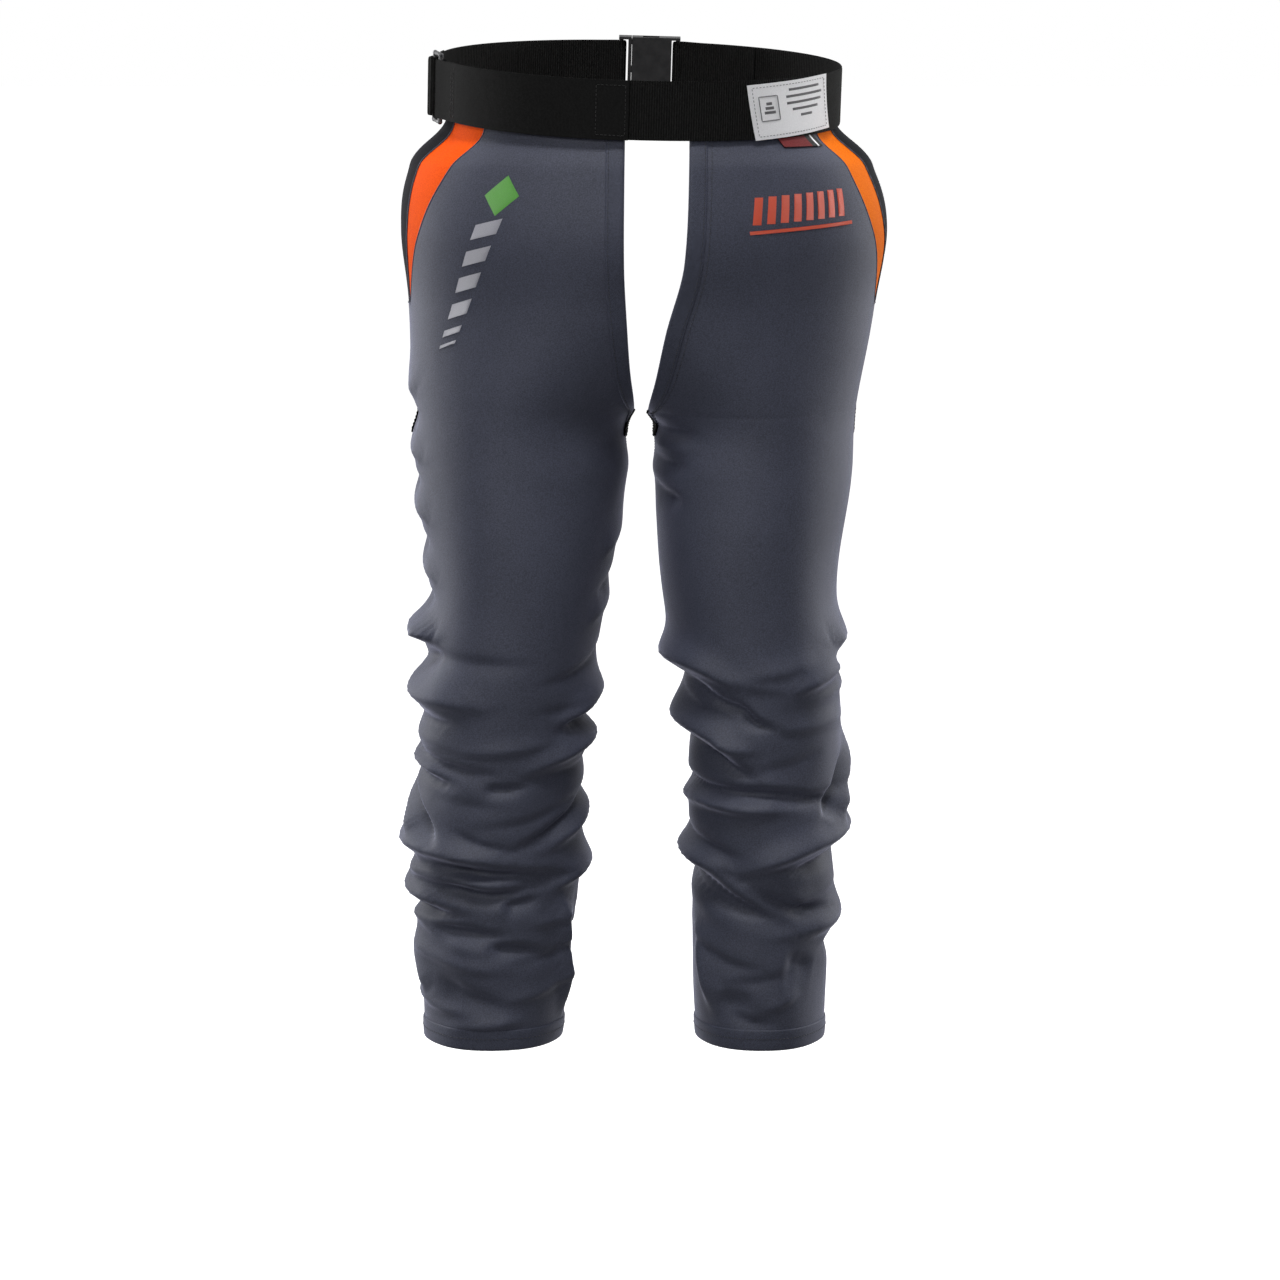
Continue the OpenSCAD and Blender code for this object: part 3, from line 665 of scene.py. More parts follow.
def rings_part(centres, tangents, normals, radii):
    """Round rings along one or more runs, closed at both ends. centres is (runs, rings, 3)."""
    sides = 6
    runs, rings = centres.shape[:2]
    turn = np.arange(sides) / sides * 2 * math.pi
    across = unit(np.cross(tangents, normals))
    ring = np.cos(turn)[:, None] * normals[..., None, :] + np.sin(turn)[:, None] * across[..., None, :]
    points = centres[..., None, :] + ring * radii[None, :, None, None]
    i, j = np.meshgrid(np.arange(rings - 1), np.arange(sides), indexing="ij")
    k = (j + 1) % sides
    corners = [i * sides + j, i * sides + k, (i + 1) * sides + k, (i + 1) * sides + j]
    body = np.stack(corners, -1).reshape(-1, 4)
    first_cap = np.array([[3, 2, 1, 0], [5, 4, 3, 0]])
    last_cap = (rings - 1) * sides + np.array([[0, 1, 2, 3], [0, 3, 4, 5]])
    faces = np.concatenate([body, first_cap, last_cap])
    faces = (faces[None] + (np.arange(runs) * rings * sides)[:, None, None]).reshape(-1, 4)
    along = np.broadcast_to(np.arange(rings)[None, :, None] * 0.0006, (runs, rings, sides))
    around = np.broadcast_to(np.arange(sides)[None, None, :] * 0.0003, (runs, rings, sides))
    uv = np.stack([along, around], -1).reshape(-1, 2)
    return {"points": points.reshape(-1, 3), "faces": faces, "uv": uv, "normals": None, "slot": 0}


def stitch_part(path, normals, pitch, length, radius):
    """A row of stitches along a path in metres. Each dips into the cloth at its ends. Sizes in mm."""
    total = np.linalg.norm(np.diff(path, axis=0), axis=-1).sum() / MM
    count = max(int(total / pitch), 1)
    fine = resampled(path, 4 * count + 1)
    share = np.linspace(0, 1, len(path))
    fine_share = np.linspace(0, 1, len(fine))
    up = unit(np.stack([np.interp(fine_share, share, normals[:, k]) for k in range(3)], -1))
    tangent = unit(np.gradient(fine, axis=0))
    middle = 4 * np.arange(count) + 2
    c, t, n = fine[middle][:, None], tangent[middle][:, None], up[middle][:, None]
    along = np.array([-0.5, -0.34, 0, 0.34, 0.5])[None, :, None] * length * MM
    lift = np.array([-0.25, 0.12, 0.22, 0.12, -0.25])[None, :, None] * MM
    radii = np.array([0.3, 0.9, 1, 0.9, 0.3]) * radius * MM
    shape = (count, 5, 3)
    centres = c + t * along + n * lift
    return rings_part(centres, np.broadcast_to(t, shape), np.broadcast_to(n, shape), radii)


def sewn_line(leg, z, angle, lift, sizes):
    """A row of stitches along a line of heights and angles on a leg's cloth, lifted off it in mm."""
    return stitch_part(leg.at(z, angle, lift), leg.normal(z, angle), *sizes)


def sides_of(corners):
    """The two ends of each side of a closed outline."""
    return zip(corners, corners[1:] + corners[:1])


def tube_part(path, normals, radius):
    """A round cord along a path in metres, with its radius in mm."""
    tangents = unit(np.gradient(path, axis=0))
    radii = np.full(len(path), radius * MM)
    radii[[0, -1]] *= 0.4
    return rings_part(path[None], tangents[None], normals[None], radii)


def build(name, parts, materials):
    """One object from its parts, with its materials: each part's faces take the material at its slot."""
    points, faces, uv, indices, normals = [], [], [], [], []
    offset = 0
    for part in parts:
        used, flat = np.unique(part["faces"], return_inverse=True)
        points.append(part["points"][used])
        faces.append(flat.reshape(-1, 4) + offset)
        uv.append(part["uv"][used])
        indices += [part["slot"]] * len(part["faces"])
        normals.append(None if part["normals"] is None else part["normals"][used])
        offset += len(used)
    faces, uv = np.concatenate(faces), np.concatenate(uv)
    obj = new_mesh(name, np.concatenate(points), faces)
    mesh = obj.data
    layer = mesh.uv_layers.new(name="UVMap")
    layer.data.foreach_set("uv", uv[faces.ravel()].astype(np.float32).ravel())
    mesh.polygons.foreach_set("use_smooth", np.ones(len(faces), bool))
    for material in materials:
        mesh.materials.append(material)
    mesh.polygons.foreach_set("material_index", np.array(indices, np.int32))
    if all(n is not None for n in normals):
        mesh.normals_split_custom_set_from_vertices(np.concatenate(normals).tolist())
    return obj


def declare_sheet(flat_points, keep=None):
    """Works out the flat width, length and area of a sheet's cut, measured on the smooth pattern; nothing is
    done with them.
    """
    across = np.linalg.norm(np.diff(flat_points, axis=1), axis=-1)
    down = np.linalg.norm(np.diff(flat_points, axis=0), axis=-1)
    if keep is None:
        keep = np.ones((flat_points.shape[0] - 1, flat_points.shape[1] - 1), bool)
    width = (across[:-1] * keep).sum(1).max()
    length = (down[:, :-1] * keep).sum(0).max()
    area = (across[:-1] * down[:, :-1] * keep).sum()
    area = min(area, width * length)


# ---------------------------------------------------------------- leg panels
SPLIT_Z = -385
# How many columns and rows of the grid the pad stops short of the panel's side edges and of its hem
PAD_INSET, PAD_HEM_INSET = 6, 8
PIPING_R = 0.75


def bend_hip(obj, side):
    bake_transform(obj)


def bend_knee(obj, side):
    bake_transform(obj)


def piece_of(leg, z0, z1, top, bottom, keep):
    """Part of a leg's whole grid between two heights, and the matching cut of its mask."""
    r0, r1 = int(round(float(leg.row(z0)))), int(round(float(leg.row(z1))))
    rows = slice(r0, r1 + 1)
    lifts = [k[rows] if isinstance(k, np.ndarray) else k for k in (top, bottom)]
    part = sheet_part(leg.points[rows], leg.normals[rows], *lifts, keep=keep[r0:r1], uv=leg.uv[rows])
    return part, leg.flat[rows], keep[r0:r1]


for side, leg in legs.items():
    insert_end = int(round(float(leg.row(INSERT_END_Z))))
    row_of, col_of = np.mgrid[0 : leg.rows - 1, 0 : leg.cols - 1]
    above = row_of < insert_end
    seam_1, seam_2 = (FINE * c for c in SEAM_COLS)
    within = (col_of >= PAD_INSET) & (col_of <= leg.cols - 2 - PAD_INSET)
    in_front = ~(above & (col_of >= seam_1 - PAD_INSET))
    front = ~(above & (col_of >= seam_1))
    masks = {
        "shell": front,
        "lining": front & (col_of >= 1) & (col_of < leg.cols - 2) & (row_of < leg.rows - 2),
        "insert": above & (col_of >= seam_1) & (col_of < seam_2),
        "rear": above & (col_of >= seam_2),
        "pad": within & in_front & (row_of < leg.rows - PAD_HEM_INSET),
    }
    from_seam = np.abs(leg.uv[..., 0] - leg.uv[:, seam_1 : seam_1 + 1, 0]) / MM
    beside_insert = np.arange(leg.rows)[:, None] <= insert_end
    welt = 0.5 * np.exp(-((from_seam / 4 - 1) ** 2)) * beside_insert
    shell_top = -1.4 * np.exp(-((leg.from_edge / 2.6) ** 2)) + welt
    lining_top = -1.9 - 6.1 * smooth(leg.from_edge / 16)
    pad_low = -1.9 - 5.6 * smooth((leg.from_edge - 3) / 16)
    for half, z0, z1, bend in (("upper", TOP_Z, SPLIT_Z, bend_hip), ("lower", SPLIT_Z, HEM_Z, bend_knee)):
        zones = ("hip", "thigh") if half == "upper" else ("knee", "shin")
        part, flat, cut = piece_of(leg, z0, z1, shell_top, shell_top - 1.2, masks["shell"])
        shell = build(f"{side}_shell_{half}", [part], [SHELL])
        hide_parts(*[f"{side}_{zone}_shell" for zone in zones])
        declare_sheet(flat, cut)
        bend(shell, side)
        part, flat, cut = piece_of(leg, z0, z1, -1.5, pad_low, masks["pad"])
        pad = build(f"{side}_pad_{half}", [part], [PAD])
        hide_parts(*[f"{side}_{zone}_pad" for zone in zones])
        bend(pad, side)
        part, flat, cut = piece_of(leg, z0, z1, lining_top, lining_top - 0.6, masks["lining"])
        lining = build(f"{side}_lining_{half}", [part], [LINING])
        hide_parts(*[f"{side}_{zone}_lining" for zone in zones])
        declare_sheet(flat, cut)
        bend(lining, side)
    part, flat, cut = piece_of(leg, TOP_Z, INSERT_END_Z, -0.35, -1.4, masks["insert"])
    insert = build(f"{side}_hip_insert", [part], [RED_ORANGE if side == "right" else ORANGE])
    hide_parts(f"{side}_orange_insert")
    declare_sheet(flat, cut)
    bend_hip(insert, side)
    # The rear panel's near-black colour is painted shade on what is grey shell fabric
    part, flat, cut = piece_of(leg, TOP_Z, INSERT_END_Z, -0.1, -1.3, masks["rear"])
    rear = build(f"{side}_rear_panel", [part], [REAR_CLOTH_PAINTED_SHADE])
    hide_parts(f"{side}_rear_hip_panel")
    declare_sheet(flat, cut)
    bend_hip(rear, side)
    # The piping in the two seams beside the insert, and along the lower edge of the insert and the rear panel
    seam_rows = slice(0, insert_end + 1)
    seams = (seam_1, seam_2)
    pipes = [tube_part(leg.points[seam_rows, c], leg.normals[seam_rows, c], PIPING_R) for c in seams]
    level = [tube_part(leg.points[insert_end, seam_1:], leg.normals[insert_end, seam_1:], PIPING_R)]
    piping = build(f"{side}_insert_piping", pipes + level, [BINDING])
    bend_hip(piping, side)

# ---------------------------------------------------------------- bindings, hem and seams
# Stitches: how far apart, how long and how thick, in mm
PANEL_STITCH, SIDE_STITCH, STRAP_STITCH = (3.6, 2.6, 0.3), (3.8, 2.6, 0.3), (3.2, 2.3, 0.3)
BELT_STITCH, LABEL_STITCH = (3.4, 2.5, 0.32), (3.2, 2.1, 0.26)
# A folded band round an edge: how far in from the edge, and how far off the cloth, in mm
CROTCH_FOLD = [
    (9, -3.6), (3, -3.5), (-0.6, -2.8), (-1.2, -1.4), (-0.6, 0.1), (1.2, 0.8), (7, 0.85), (13, 0.8),
    (14, 0.1),
]
HEM_FOLD = [
    (12, -9.2), (4, -8), (0, -5), (-1, -2.6), (-0.4, -0.6), (1, 0.7), (8, 0.9), (16, 0.8), (17.6, 0.1),
]
BAND_T = 0.45
BINDING_TOP, BINDING_END = -16, -300
SIDE_STITCH_END, SIDE_STITCH_INSET, HEM_STITCH_RISE = -812, 7, 10
for side, leg in legs.items():
    z = np.linspace(BINDING_TOP, BINDING_END, 100)
    edge_angle = inner_angle(side, z)
    off_edge = unit(leg.at(z, edge_angle) - leg.at(z, edge_angle + leg.around(z, 3)))
    grid = [
        leg.at(z, edge_angle + leg.around(z, max(d, 0)), lift) - min(d, 0) * MM * off_edge
        for d, lift in CROTCH_FOLD
    ]
    grid = finer(np.stack(grid, 1), 1, 3)
    toward = np.repeat(leg.normal(z, edge_angle)[:, None], grid.shape[1], 1)
    normals = grid_normals(grid, toward)
    band_part = sheet_part(grid, normals, BAND_T, -BAND_T)
    band = build(f"{side}_edge_binding", [band_part], [BINDING])
    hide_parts(f"{side}_crotch_binding")
    declare_sheet(grid)
    bend_hip(band, side)
    rows = [sewn_line(leg, z, edge_angle + leg.around(z, 11.8), 1.3, PANEL_STITCH)]
    if side == "left":
        rows.append(sewn_line(leg, z, edge_angle + leg.around(z, 18.0), 0.05, PANEL_STITCH))
    stitches = build(f"{side}_edge_stitches", rows, [SEAM_THREAD])
    bend_hip(stitches, side)

    angle = np.linspace(float(inner_angle(side, HEM_Z)) + 0.2, float(outer_angle(HEM_Z)) - 0.2, 150)
    off_edge = unit(leg.at(HEM_Z, angle) - leg.at(HEM_Z + 4, angle))
    grid = [leg.at(HEM_Z + max(d, 0), angle, lift) - min(d, 0) * MM * off_edge for d, lift in HEM_FOLD]
    grid = finer(np.stack(grid, 0), 0, 3)
    toward = np.repeat(leg.normal(HEM_Z, angle)[None], grid.shape[0], 0)
    normals = grid_normals(grid, toward)
    hem = build(f"{side}_hem", [sheet_part(grid, normals, BAND_T, -BAND_T)], [BINDING])
    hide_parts(f"{side}_hem_band")
    declare_sheet(grid)
    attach(hem, f"{side}_shin")
    hem_row = sewn_line(leg, HEM_Z + HEM_STITCH_RISE, angle, 1.35, PANEL_STITCH)
    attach(build(f"{side}_hem_stitches", [hem_row], [SEAM_THREAD]), f"{side}_shin")
    # A line of stitches just inside the panel's free edges, behind the leg
    side_lines = (("upper", BINDING_END, SPLIT_Z, bend_hip), ("lower", SPLIT_Z, SIDE_STITCH_END, bend_knee))
    for half, z0, z1, bend in side_lines:
        z = np.linspace(z0, z1, 120)
        rows = []
        for edge_at, turn in ((inner_angle(side, z), 1), (outer_angle(z), -1)):
            line = edge_at + turn * leg.around(z, SIDE_STITCH_INSET)
            rows.append(sewn_line(leg, z, line, 0.05, SIDE_STITCH))
        bend(build(f"{side}_side_stitches_{half}", rows, [SEAM_THREAD]), side)

# ---------------------------------------------------------------- embroidered marks, all generic


def embroidered(leg, corners, turned=False):
    """A raised block of satin stitch between four corners (height, angle), upper ones first."""
    steps = np.linspace(0, 1, 15)
    s, t = np.meshgrid(steps, steps, indexing="ij")
    c = np.array(corners, float)
    blend = ((1 - s) * (1 - t), (1 - s) * t, s * t, s * (1 - t))
    z, angle = [sum(w * c[k, i] for k, w in enumerate(blend)) for i in (0, 1)]
    round_off = np.clip(np.minimum(np.minimum(s, 1 - s), np.minimum(t, 1 - t)) * 9, 0, 1)
    lift = 0.15 + 0.75 * np.sqrt(round_off)
    points = leg.at(z, angle)
    uv = arc_uv(points)
    return sheet_part(points, leg.normal(z, angle), lift, -0.1, uv=uv[..., ::-1] if turned else uv)


# The right mark's bars: each one's upper and lower height, and their half width and lean
RIGHT_BARS = [(-108, -121), (-131, -144), (-154, -167), (-177, -190), (-200, -206), (-213, -216)]
BAR_HALF, BAR_LEAN = 3.9, 3.0


def slanted(high, low):
    """Corners of a bar between two heights of the right mark's leaning column."""
    upper, lower = (34 + (-75 - z) * 0.105 for z in (high, low))
    return [
        (high + BAR_LEAN, upper - BAR_HALF), (high - BAR_LEAN, upper + BAR_HALF),
        (low - BAR_LEAN, lower + BAR_HALF), (low + BAR_LEAN, lower - BAR_HALF),
    ]


right_leg, left_leg = legs["right"], legs["left"]
bars = [embroidered(right_leg, slanted(*heights)) for heights in RIGHT_BARS]
badge = [embroidered(right_leg, [(-69, 33.6), (-86, 39.6), (-103, 35.8), (-86, 29.6)], True)]


def left_row(angle):
    """The left mark's rise towards the hip, in mm."""
    return (angle - 41) * 0.22


STRIPES, STRIPE_FIRST, STRIPE_STEP = 8, 26.2, 3.7
stripes = []
for k in range(STRIPES):
    a = STRIPE_FIRST + k * STRIPE_STEP
    upper, lower = -84 + left_row(a), -107 + left_row(a)
    corners = [(upper, a + 1.2), (upper, a + 3.4), (lower, a + 2), (lower, a - 0.2)]
    stripes.append(embroidered(left_leg, corners))
low_line = [(z + left_row(a), a) for z, a in ((-112, 25), (-112, 57), (-115, 57), (-115, 25))]
stripes.append(embroidered(left_leg, low_line, True))
for side, name, parts, thread, slot, node in (
    ("right", "thigh_bars", bars, SILVER_THREAD, "silver_thread", "motif_bars"),
    ("right", "thigh_badge", badge, GREEN_THREAD, "green_thread", "motif_badge"),
    ("left", "thigh_stripes", stripes, ORANGE_THREAD, "orange_thread", "motif_bars"),
):
    mark = build(f"{side}_{name}", parts, [thread])
    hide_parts(f"{side}_{node}")
    bend_hip(mark, side)

# ---------------------------------------------------------------- the belt
BELT_A, BELT_B, BELT_W, BELT_T = 172, 124, 50, 2.2
BELT_TILT, BELT_ROLL = math.radians(6.6), math.radians(1.6)
RING_FRONT, RING_REAR, BELT_STEP = 76, 83.5, 3
BAR_R, BAR_PLAY, RING_R, RING_PLAY = 2.0, 0.4, 2.0, 1.8
FRONT_SEAM, REAR_JOINT = -2, -141
# Where the belt's curve runs out beside the waist buckle's socket and plug, in degrees
SOCKET_SIDE, PLUG_SIDE = 162, -168
MOUTH, WAIST_DEPTH, PLUG_BAR = -8, 32, 9.6


def socket_bar(depth):
    return depth + 3 + 2 * BAR_R + 1.6


def in_belt(points):
    """Points of the belt's own frame, in mm, put in the shared frame in metres."""
    x, y, z = np.moveaxis(np.asarray(points, float), -1, 0)
    c, s = math.cos(BELT_TILT), math.sin(BELT_TILT)
    y, z = y * c - z * s, y * s + z * c
    c, s = math.cos(BELT_ROLL), math.sin(BELT_ROLL)
    x, z = x * c + z * s, z * c - x * s
    return np.stack([x, y, z], -1) * MM


def on_belt(angle, off=0.0):
    a = np.radians(angle)
    return np.stack(np.broadcast_arrays((BELT_A + off) * np.sin(a), -(BELT_B + off) * np.cos(a)), -1)


def turn_left(v):
    return unit(np.stack([-v[..., 1], v[..., 0]], -1))


def path_normals(p):
    before = np.concatenate([p[:1], p[:-1]])
    after = np.concatenate([p[1:], p[-1:]])
    return turn_left(after - before)


def loop_height(radius, play, t):
    return radius + play + t / 2


def loop_end(p, h, side, t, tail):
    """The end of a strap round a bar, then back along itself for tail points."""
    d = unit(p[-1] - p[-2])
    n = side * turn_left(d)
    c = p[-1] + h * n
    turn = np.radians(np.arange(22.5, 181, 22.5))[:, None]
    bend = c + h * (np.sin(turn) * d - np.cos(turn) * n)
    back = np.linalg.norm(np.diff(p[::-1], axis=0), axis=-1).cumsum()[:tail]
    flat = t + 0.1
    gap = flat + (2 * h - flat) * np.maximum(1 - back / 25, 0) ** 2
    normals = path_normals(p)[::-1][1 : tail + 1]
    return np.concatenate([bend, p[::-1][1 : tail + 1] + side * gap[:, None] * normals])


WIDTH_STEPS = np.array([-1, -0.97, -0.9, -0.6, -0.3, 0, 0.3, 0.6, 0.9, 0.97, 1])
SELVEDGE = np.array([0.3, 0.75, 1, 1, 1, 1, 1, 1, 1, 0.75, 0.3])


def upright(path, heights):
    """Points over a path in the belt's frame, at each height."""
    return np.stack(np.broadcast_arrays(path[..., :1], path[..., 1:], heights), -1)


def belt_part(path, slot=0):
    """Webbing standing on a path in the belt's frame."""
    path = finer(path, 0, 4)
    points = in_belt(upright(path, WIDTH_STEPS * BELT_W / 2))
    normals = in_belt(upright(path_normals(path), 0 * WIDTH_STEPS)) / MM
    thick = SELVEDGE * BELT_T / 2
    return sheet_part(points, normals, thick, -thick, uv=arc_uv(points)[..., ::-1], slot=slot)


belt_h = loop_height(BAR_R, BAR_PLAY, BELT_T)
front_h = loop_height(RING_R, BAR_PLAY, BELT_T)
rear_h = loop_height(RING_R, RING_PLAY, BELT_T)
socket_reach = MOUTH + socket_bar(WAIST_DEPTH)
plug_reach = MOUTH - PLUG_BAR
front_main = np.concatenate(
    [
        [[socket_reach, BELT_B], [socket_reach + 6, BELT_B - 0.3]],
        on_belt(np.arange(SOCKET_SIDE, -RING_FRONT + BELT_STEP / 2, -BELT_STEP)),
        [on_belt(-RING_FRONT)],
    ]
)
front_tail = (RING_FRONT + FRONT_SEAM) // BELT_STEP
socket_end = loop_end(front_main[::-1], belt_h, 1, BELT_T, 8)
ring_end = loop_end(front_main, front_h, 1, BELT_T, front_tail)
first_half = np.concatenate([socket_end[::-1], front_main])
front_parts = [belt_part(np.concatenate([first_half, ring_end[:8]])), belt_part(ring_end[7:], slot=1)]
front_band = build("waist_band", front_parts, [BELT_RIBBED, BELT_SMOOTH])
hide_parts("front_band")
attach(front_band, "belt")
rear_curve = on_belt(np.arange(REAR_JOINT, -RING_REAR - BELT_STEP / 2, BELT_STEP))
rear_main = np.concatenate([rear_curve, [on_belt(-RING_REAR)]])
rear_path = np.concatenate([rear_main, loop_end(rear_main, rear_h, -1, BELT_T, 6)])
rear_strap = build("rear_waist_strap", [belt_part(rear_path)], [BELT_RIBBED])
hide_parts("rear_strap")
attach(rear_strap, "belt")
plug_main = np.concatenate(
    [
        on_belt(np.arange(REAR_JOINT - 0.02, PLUG_SIDE - BELT_STEP / 2, -BELT_STEP)),
        [[plug_reach - 6, BELT_B - 0.3], [plug_reach, BELT_B]],
    ]
)
plug_path = np.concatenate([plug_main, loop_end(plug_main, belt_h, -1, BELT_T, 6)])
plug_strap = build("waist_plug_webbing", [belt_part(plug_path)], [BELT_RIBBED])
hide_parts("waist_plug_strap")
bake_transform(plug_strap)

# Stitching on the belt: a box at the end of the doubled layer, and bars by the ring and the buckle


def belt_face(angle, height, off):
    """Points off the belt's middle surface, in metres from degrees and mm, and their outward normals."""
    points = np.concatenate([on_belt(angle, off), height[..., None]], -1)
    outward = np.concatenate([unit(on_belt(angle, 1) - on_belt(angle)), 0 * height[..., None]], -1)
    return in_belt(points), in_belt(outward) / MM


def belt_stitches(start, end, off):
    """A row of stitches on the belt between two (angle, height) points."""
    return stitch_part(*belt_face(*np.linspace(start, end, 30).T, off), *BELT_STITCH)


outer_face = BELT_T * 1.5 + 0.12
tail_end = -RING_FRONT + BELT_STEP * (front_tail - 1) + 4
box = [(tail_end - 0.9, 21), (tail_end - 9, 21), (tail_end - 9, -21), (tail_end - 0.9, -21)]
rows = [belt_stitches(start, end, outer_face) for start, end in sides_of(box)]
rows += [belt_stitches((a, 22), (a, -22), outer_face) for a in (-66, -64.5)]
rows += [belt_stitches((a, 22), (a, -22), BELT_T / 2) for a in (-97, 140, 141.5)]
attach(build("belt_stitches", rows, [BLACK_THREAD]), "belt")

# The label, its border stitches and its generic sign and lines
LABEL_ANGLE, LABEL_SPAN, LABEL_H = 32.5, 33.5, 47
# The label isn't quite square to the belt: its sides lean, in degrees, and its top rises, in mm
LABEL_LEAN, LABEL_RISE = 3.6, 4.5


def label_grid(u0, u1, v0, v1, lift, count=12):
    """A grid on the label between shares of its width and height, and its outward normals."""
    u, v = np.meshgrid(np.linspace(u0, u1, count), np.linspace(v0, v1, count), indexing="ij")
    angle = LABEL_ANGLE + LABEL_SPAN * u - LABEL_LEAN * (v - 0.5)
    height = (v - 0.5) * LABEL_H + LABEL_RISE * (u - 0.5)
    curl = 1.0 * (np.abs(u - 0.5) * 2) ** 6 * (np.abs(v - 0.5) * 2) ** 2
    return belt_face(angle, height, BELT_T / 2 + 0.35 + lift + curl)


def label_frame(us, vs, lift, count):
    """The four sides of a rectangle on the label, each as a path and its outward normals."""
    level = [label_grid(*us, v, v, lift, count) for v in vs]
    steep = [label_grid(u, u, *vs, lift, count) for u in us]
    return [(p[:, 0], n[:, 0]) for p, n in level] + [(p[0], n[0]) for p, n in steep]


points, normals = label_grid(0, 1, 0, 1, 0, 40)
label = build("label_patch", [sheet_part(points, normals, 0.25, -0.2)], [LABEL])
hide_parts("belt_label")
declare_sheet(points)
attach(label, "belt")
rows = [stitch_part(*line, *LABEL_STITCH) for line in label_frame((0.045, 0.955), (0.06, 0.94), 0.28, 40)]
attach(build("label_stitches", rows, [GREY_PRINT]), "belt")
prints = []
for k, (u0, u1) in enumerate([(0.44, 0.86), (0.4, 0.9), (0.4, 0.88), (0.46, 0.82), (0.56, 0.72)]):
    v = 0.84 - k * 0.12
    points, normals = label_grid(u0, u1, v - 0.022, v + 0.022, 0.28)
    prints.append(sheet_part(points, normals, 0.08, -0.05))
prints += [tube_part(*line, 0.45) for line in label_frame((0.1, 0.3), (0.33, 0.77), 0.3, 13)]
for v0, v1, half in ((0.45, 0.5, 0.06), (0.53, 0.58, 0.045), (0.61, 0.66, 0.03)):
    points, normals = label_grid(0.2 - half, 0.2 + half, v0, v1, 0.28)
    prints.append(sheet_part(points, normals, 0.08, -0.05))
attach(build("label_print", prints, [GREY_PRINT]), "belt")

# The folded size tab under the label: its heights, and the angles and material of each stripe
TAB_TOP, TAB_LOW = -36, -47
tab_parts = []
for a0, a1, slot in ((43, 54.8, 0), (54.8, 57.4, 1), (57.4, 58.3, 2), (58.3, 60, 1)):
    z, angle = np.meshgrid(np.linspace(TAB_TOP, TAB_LOW, 9), np.linspace(a0, a1, 9), indexing="ij")
    bulge = 1.9 + 0.5 * np.sin((TAB_TOP - z) / (TAB_TOP - TAB_LOW) * math.pi)
    tab_parts.append(sheet_part(left_leg.at(z, angle), left_leg.normal(z, angle), bulge, 0.9, slot=slot))
tab = build("folded_tab", tab_parts, [TAB_RED, TAB_BLACK, LABEL])
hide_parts("size_tab")
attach(tab, "belt")

# ---------------------------------------------------------------- leg straps
STRAP_W, STRAP_T, SHELL_T, LEG_MOUTH, LEG_DEPTH, RUN_UP = 25, 1.6, 1.5, -9.5, 19, 10
STRAPS = (
    ("upper", -286, "thigh"), ("middle", -409, "thigh"), ("knee", -494, "thigh"), ("shin", -700, "shin"),
)
strap_h = loop_height(BAR_R, BAR_PLAY, STRAP_T)
EDGES = np.array([-1, 0, 1]) * STRAP_W / 2
# Where the strap is sewn to the panel: in how many points, and between what turns from its edge, in degrees
SEWN_POINTS, SEWN_FROM, SEWN_TO = 6, 17, 2.5


def strap_grid(leg, z, way):
    """The strap's surface: its sewn end on the panel, then round behind the leg and the buckle's bar."""
    side = leg.side
    rows = SECTIONS[side]
    xc, a = float(curve(rows, z, 1)), float(curve(rows, z, 3))
    turn = math.degrees(math.asin((PLUG_BAR - LEG_MOUTH + RUN_UP) / (a - SHELL_T / 2)))
    edge = outer_angle(z + EDGES).max() if way > 0 else inner_angle(side, z + EDGES).min()
    first, last = edge + way * 1.2, way * (180 - turn)
    steps = math.ceil(abs(last - first) / 4)
    mirror = MIRROR[side]
    arc = on_section(side, z, np.linspace(first, last, steps + 1), -SHELL_T / 2)[:, :2] / MM * [mirror, 1]
    bar_x = xc + LEG_MOUTH + (socket_bar(LEG_DEPTH) if way > 0 else -PLUG_BAR)
    main = np.concatenate([arc, [[bar_x, arc[-1, 1]]]])
    path = np.concatenate([main, loop_end(main, strap_h, way, STRAP_T, 5)])
    across = z + WIDTH_STEPS * STRAP_W / 2
    free = upright(path * [mirror, 1], across) * MM
    on_panel = np.linspace(edge - way * SEWN_FROM, edge - way * SEWN_TO, SEWN_POINTS)
    heights, turns = np.meshgrid(across, on_panel)
    sewn = leg.at(heights, turns, 1.0)
    grid = finer(np.concatenate([sewn, free[1:]]), 0, 3)
    # The sewn end says which side of the strap faces out
    outward = grid - np.array([mirror * xc * MM, float(curve(rows, z, 2)) * MM, 0])
    outward[..., 2] = 0
    outward[SEWN_POINTS * 3 :] = 0
    return grid, grid_normals(grid, outward), on_panel, bar_x * mirror * MM


for side, leg in legs.items():
    for name, z, part_name in STRAPS:
        node = f"{side}_{part_name}_strap" + ("s" if part_name == "thigh" else "")
        for way, kind in ((1, "tab"), (-1, "strap")):
            grid, n, on_panel, bar_x = strap_grid(leg, z, way)
            thick = SELVEDGE * STRAP_T / 2
            body = sheet_part(grid, n, thick, -thick, uv=arc_uv(grid)[..., ::-1])
            obj = build(f"{side}_{name}_{kind}", [body], [STRAP_WEB])
            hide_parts(node)
            a0, a1 = on_panel[0] + way * 0.8, on_panel[-1] - way * 1.5
            corners = [(z + 10, a0), (z + 10, a1), (z - 10, a1), (z - 10, a0)]
            box = [np.linspace(start, end, 12).T for start, end in sides_of(corners)]
            lines = [sewn_line(leg, *line, 1.9, STRAP_STITCH) for line in box]
            sewn = build(f"{side}_{name}_{kind}_stitches", lines, [BLACK_THREAD])
            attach(sewn, f"{side}_{part_name}")
            if kind == "tab":
                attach(obj, f"{side}_{part_name}")
            else:
                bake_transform(obj)

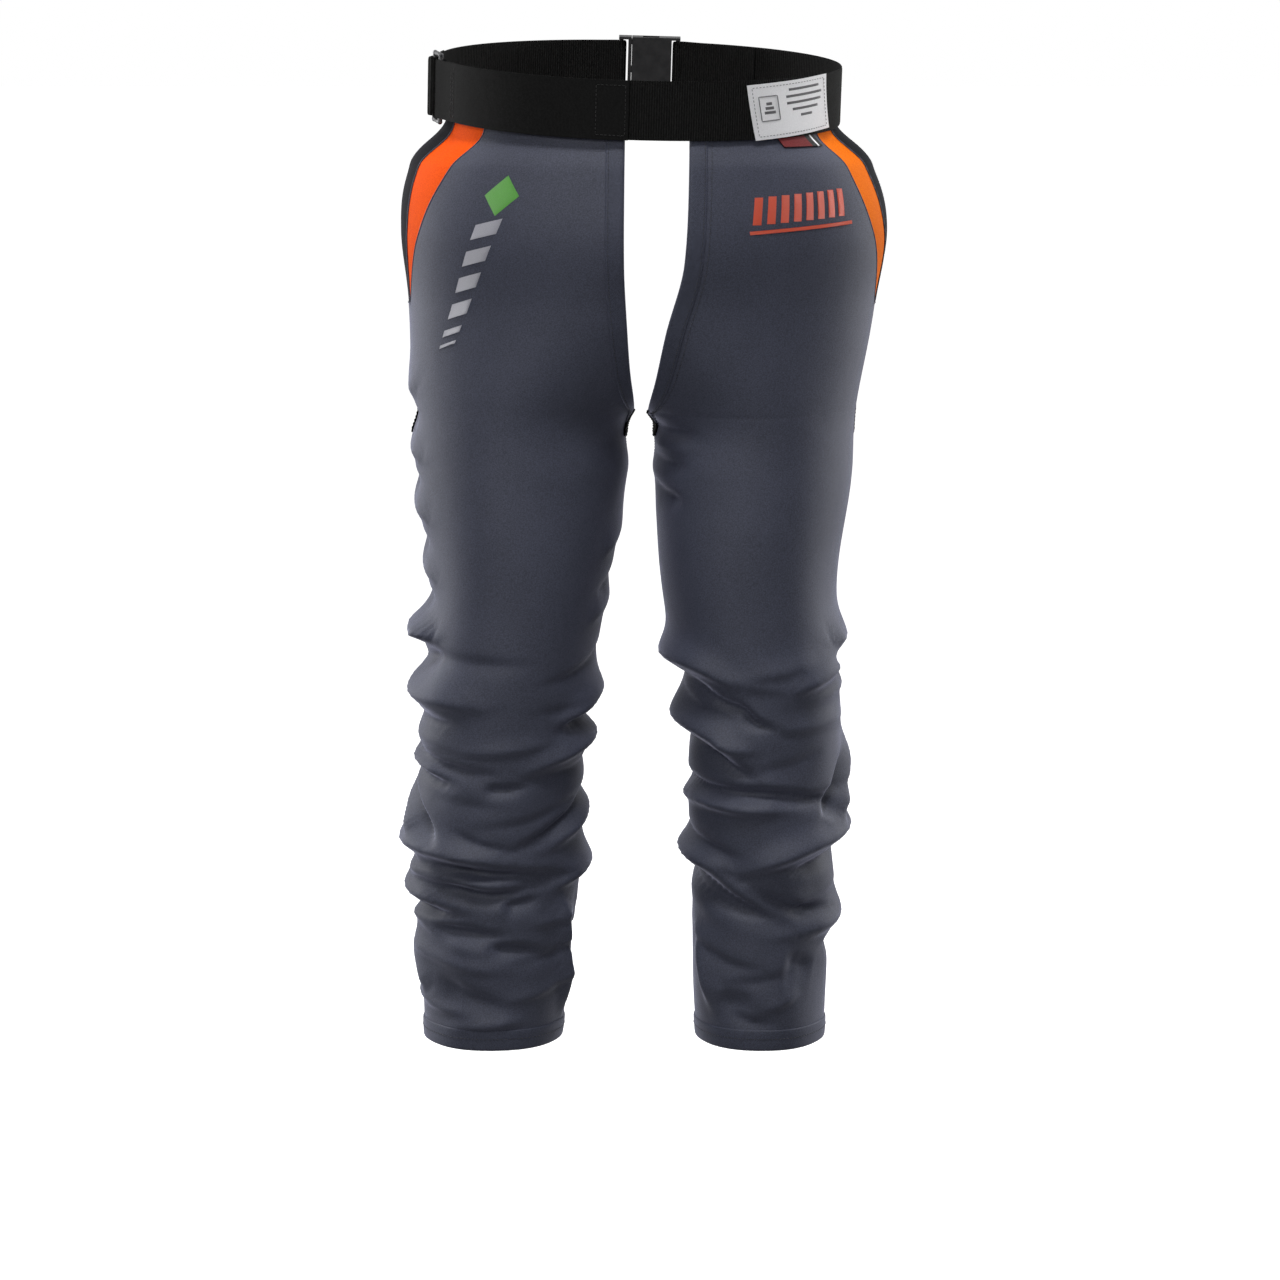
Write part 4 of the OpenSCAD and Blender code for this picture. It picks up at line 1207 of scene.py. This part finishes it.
# ---------------------------------------------------------------- buckles and ring, carried over from the CAD
plastic_nodes = ["waist_socket", "waist_plug"]
for side in SIDES:
    plastic_nodes += [f"{side}_thigh_sockets", f"{side}_shin_socket"]
    plastic_nodes += [f"{side}_{name}_plug" for name, _, _ in STRAPS]
for node in plastic_nodes:
    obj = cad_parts[node]
    obj.data.materials.clear()
    obj.data.materials.append(PLASTIC)
    bevel = obj.modifiers.new("Bevel", "BEVEL")
    bevel.width = 0.0006
    bevel.segments = 3
    bevel.limit_method = "ANGLE"
    bevel.harden_normals = True
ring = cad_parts["hip_ring"]
ring.data.materials.clear()
ring.data.materials.append(STEEL)

# ---------------------------------------------------------------- floor, light and camera
floor_z = cad_low.z - 0.05
bpy.ops.mesh.primitive_plane_add(size=60, location=(0, 0, floor_z))
floor = bpy.context.object
floor.name = "floor"
pale = {"Base_Color": (0.9, 0.9, 0.9, 1), "Emission_Color": (1, 1, 1, 1)}
pale_floor = new_surface("pale_floor").finished(**pale, Roughness=0.8, Emission_Strength=0.7)
floor.data.materials.append(pale_floor)
floor.visible_diffuse = floor.visible_glossy = False

# The backdrop shows white, and lights the object softly, more from behind than from in front
studio = Nodes(bpy.data.worlds.new("studio"))
backwards = studio.node("SeparateXYZ", studio.node("TexCoord")).node.outputs["Y"]
shade = studio.node("MapRange", backwards, -0.2, 0.9, 0.21, 0.72)
shade.node.interpolation_type = "SMOOTHSTEP"
strength = studio.node("Mix", Factor=studio.node("LightPath"), A=shade, B=1.0)
bpy.context.scene.world = studio.finished("Background", Color=(1, 1, 1, 1), Strength=strength)


def lamp(name, place, target, size, watts):
    light = bpy.data.lights.new(name, "AREA")
    light.shape = "RECTANGLE"
    light.size, light.size_y = size
    light.energy = watts
    obj = bpy.data.objects.new(name, light)
    obj.location = place
    obj.rotation_euler = (Vector(target) - Vector(place)).to_track_quat("-Z", "Y").to_euler()
    bpy.context.scene.collection.objects.link(obj)


middle = (0, 0, -0.42)
lamp("left_softbox", (-1.6, 0.7, 0.1), middle, (0.5, 1.8), 22)
lamp("right_softbox", (1.6, 0.7, 0.1), middle, (0.5, 1.8), 19)
lamp("front_softbox", (-0.9, -2.4, 0.6), middle, (0.6, 0.6), 20)
lamp("top_softbox", (0, -1.7, 3.3), middle, (1.7, 0.9), 96)

camera_data = bpy.data.cameras.new("camera")
camera = bpy.data.objects.new("camera", camera_data)
bpy.context.scene.collection.objects.link(camera)
bpy.context.scene.camera = camera
camera.location = (0, -4.0, 0.12)
aim = Vector((0, 0, -0.479))
camera.rotation_euler = (aim - camera.location).to_track_quat("-Z", "Y").to_euler()
camera_data.sensor_width = 36
camera_data.lens = 130
bpy.context.scene.view_settings.view_transform = "Standard"
